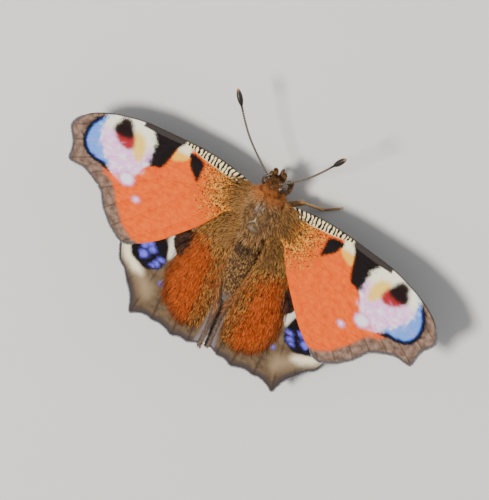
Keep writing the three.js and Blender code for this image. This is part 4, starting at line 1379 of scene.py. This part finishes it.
class BUTTERFLY_OT_wing_hairs(bpy.types.Operator):
    """Add the wings' silky hairs and fringes"""
    bl_idname = "butterfly.wing_hairs"
    bl_label = "Wing hairs"

    def execute(self, context):
        dice = np.random.default_rng(23)
        for side in ("left", "right"):
            field_hairs(dice, "hindwing_" + side)
            inner_hairs(dice, "hindwing_" + side)
            for kind in ("forewing", "hindwing"):
                base_hairs(dice, kind + "_" + side, kind)
                fringe(dice, kind + "_" + side, kind)
        return {"FINISHED"}


class BUTTERFLY_OT_stage(bpy.types.Operator):
    """Add the pale floor, the soft light and the camera"""
    bl_idname = "butterfly.stage"
    bl_label = "Stage"

    def execute(self, context):
        bpy.ops.object.select_all(action="DESELECT")
        bpy.ops.mesh.primitive_plane_add(size=1.2, location=(0, 0, 0))
        floor = context.active_object
        floor.name = "studio_floor"
        graph = Graph("studio_floor_paint", roughness=0.85)
        shade = graph.noise(graph.place(), 60.0, 2.0, 0.5)
        floor.data.materials.append(graph.finish(graph.mix(shade, srgb(226, 224, 220), srgb(232, 230, 226))))
        add_lights()
        add_camera(context.scene.butterfly.camera_distance)
        return {"FINISHED"}


# The view: towards the camera, to the picture's right and up, from the thorax
VIEW_AZIMUTH = -119.31
VIEW_TILT = 26.12
VIEW_ROLL = 24.82
FOCAL_PIXELS = 1774.5
HOME_PIXEL = (262.1, 211.7)
PICTURE = (489, 500)
SENSOR = 36.0


def view_axes():
    azimuth, tilt, roll = (math.radians(a) for a in (VIEW_AZIMUTH, VIEW_TILT, VIEW_ROLL))
    flat = math.sin(tilt)
    towards = Vector((flat * math.cos(azimuth), flat * math.sin(azimuth), math.cos(tilt)))
    up = Vector((0, -1, 0))
    up = (up - towards * up.dot(towards)).normalized()
    right = up.cross(towards)
    picture_right = right * math.cos(roll) + up * math.sin(roll)
    picture_up = up * math.cos(roll) - right * math.sin(roll)
    return towards, picture_right, picture_up


def add_camera(distance):
    towards, right, up = view_axes()
    place = HOME + towards * distance
    off_right = PICTURE[0] / 2 - HOME_PIXEL[0]
    off_up = HOME_PIXEL[1] - PICTURE[1] / 2
    forward = (-towards * FOCAL_PIXELS + right * off_right + up * off_up).normalized()
    level_up = (up - forward * up.dot(forward)).normalized()
    level_right = forward.cross(level_up)
    turn = Matrix((level_right, level_up, -forward)).transposed()
    data = bpy.data.cameras.new("view")
    data.sensor_width = SENSOR
    data.lens = SENSOR * FOCAL_PIXELS / max(PICTURE)
    data.clip_start = 0.01
    camera = bpy.data.objects.new("view", data)
    camera.matrix_world = Matrix.Translation(place) @ turn.to_4x4()
    bpy.context.scene.collection.objects.link(camera)
    bpy.context.scene.camera = camera


def add_area(name, direction, distance, size, power, colour):
    data = bpy.data.lights.new(name, "AREA")
    data.shape = "DISK"
    data.size = size
    data.energy = power
    data.color = colour
    light = bpy.data.objects.new(name, data)
    away = Vector(direction).normalized()
    light.location = HOME + away * distance
    light.rotation_euler = away.to_track_quat("Z", "Y").to_euler()
    bpy.context.scene.collection.objects.link(light)


def add_lights():
    towards, right, up = view_axes()
    add_area("key_light", towards * 0.9 - right * 0.75 - up * 0.25, 0.6, 0.16, 4.6, (1.0, 0.95, 0.88))
    add_area("fill_light", towards * 0.8 + right * 0.9 + up * 0.5, 0.7, 0.5, 2.2, (0.92, 0.96, 1.0))
    world = bpy.data.worlds.new("studio")
    world.use_nodes = True
    world.node_tree.nodes["Background"].inputs["Color"].default_value = (0.93, 0.95, 1.0, 1)
    world.node_tree.nodes["Background"].inputs["Strength"].default_value = 0.38
    bpy.context.scene.world = world


class BUTTERFLY_PT_panel(bpy.types.Panel):
    bl_label = "Peacock Butterfly"
    bl_space_type = "VIEW_3D"
    bl_region_type = "UI"
    bl_category = "Butterfly"

    def draw(self, context):
        for operator in OPERATORS:
            self.layout.operator(operator.bl_idname)


OPERATORS = (
    BUTTERFLY_OT_stage, BUTTERFLY_OT_wings, BUTTERFLY_OT_body, BUTTERFLY_OT_head, BUTTERFLY_OT_legs,
    BUTTERFLY_OT_wing_hairs,
)
CLASSES = (ButterflyProps, BUTTERFLY_PT_panel) + OPERATORS


def register():
    for item in CLASSES:
        bpy.utils.register_class(item)
    bpy.types.Scene.butterfly = bpy.props.PointerProperty(type=ButterflyProps)


def unregister():
    del bpy.types.Scene.butterfly
    for item in reversed(CLASSES):
        bpy.utils.unregister_class(item)


def main():
    register()
    bpy.ops.butterfly.stage()
    bpy.ops.butterfly.wings()
    bpy.ops.butterfly.body()
    bpy.ops.butterfly.head()
    bpy.ops.butterfly.legs()
    bpy.ops.butterfly.wing_hairs()


if __name__ == "__main__":
    main()
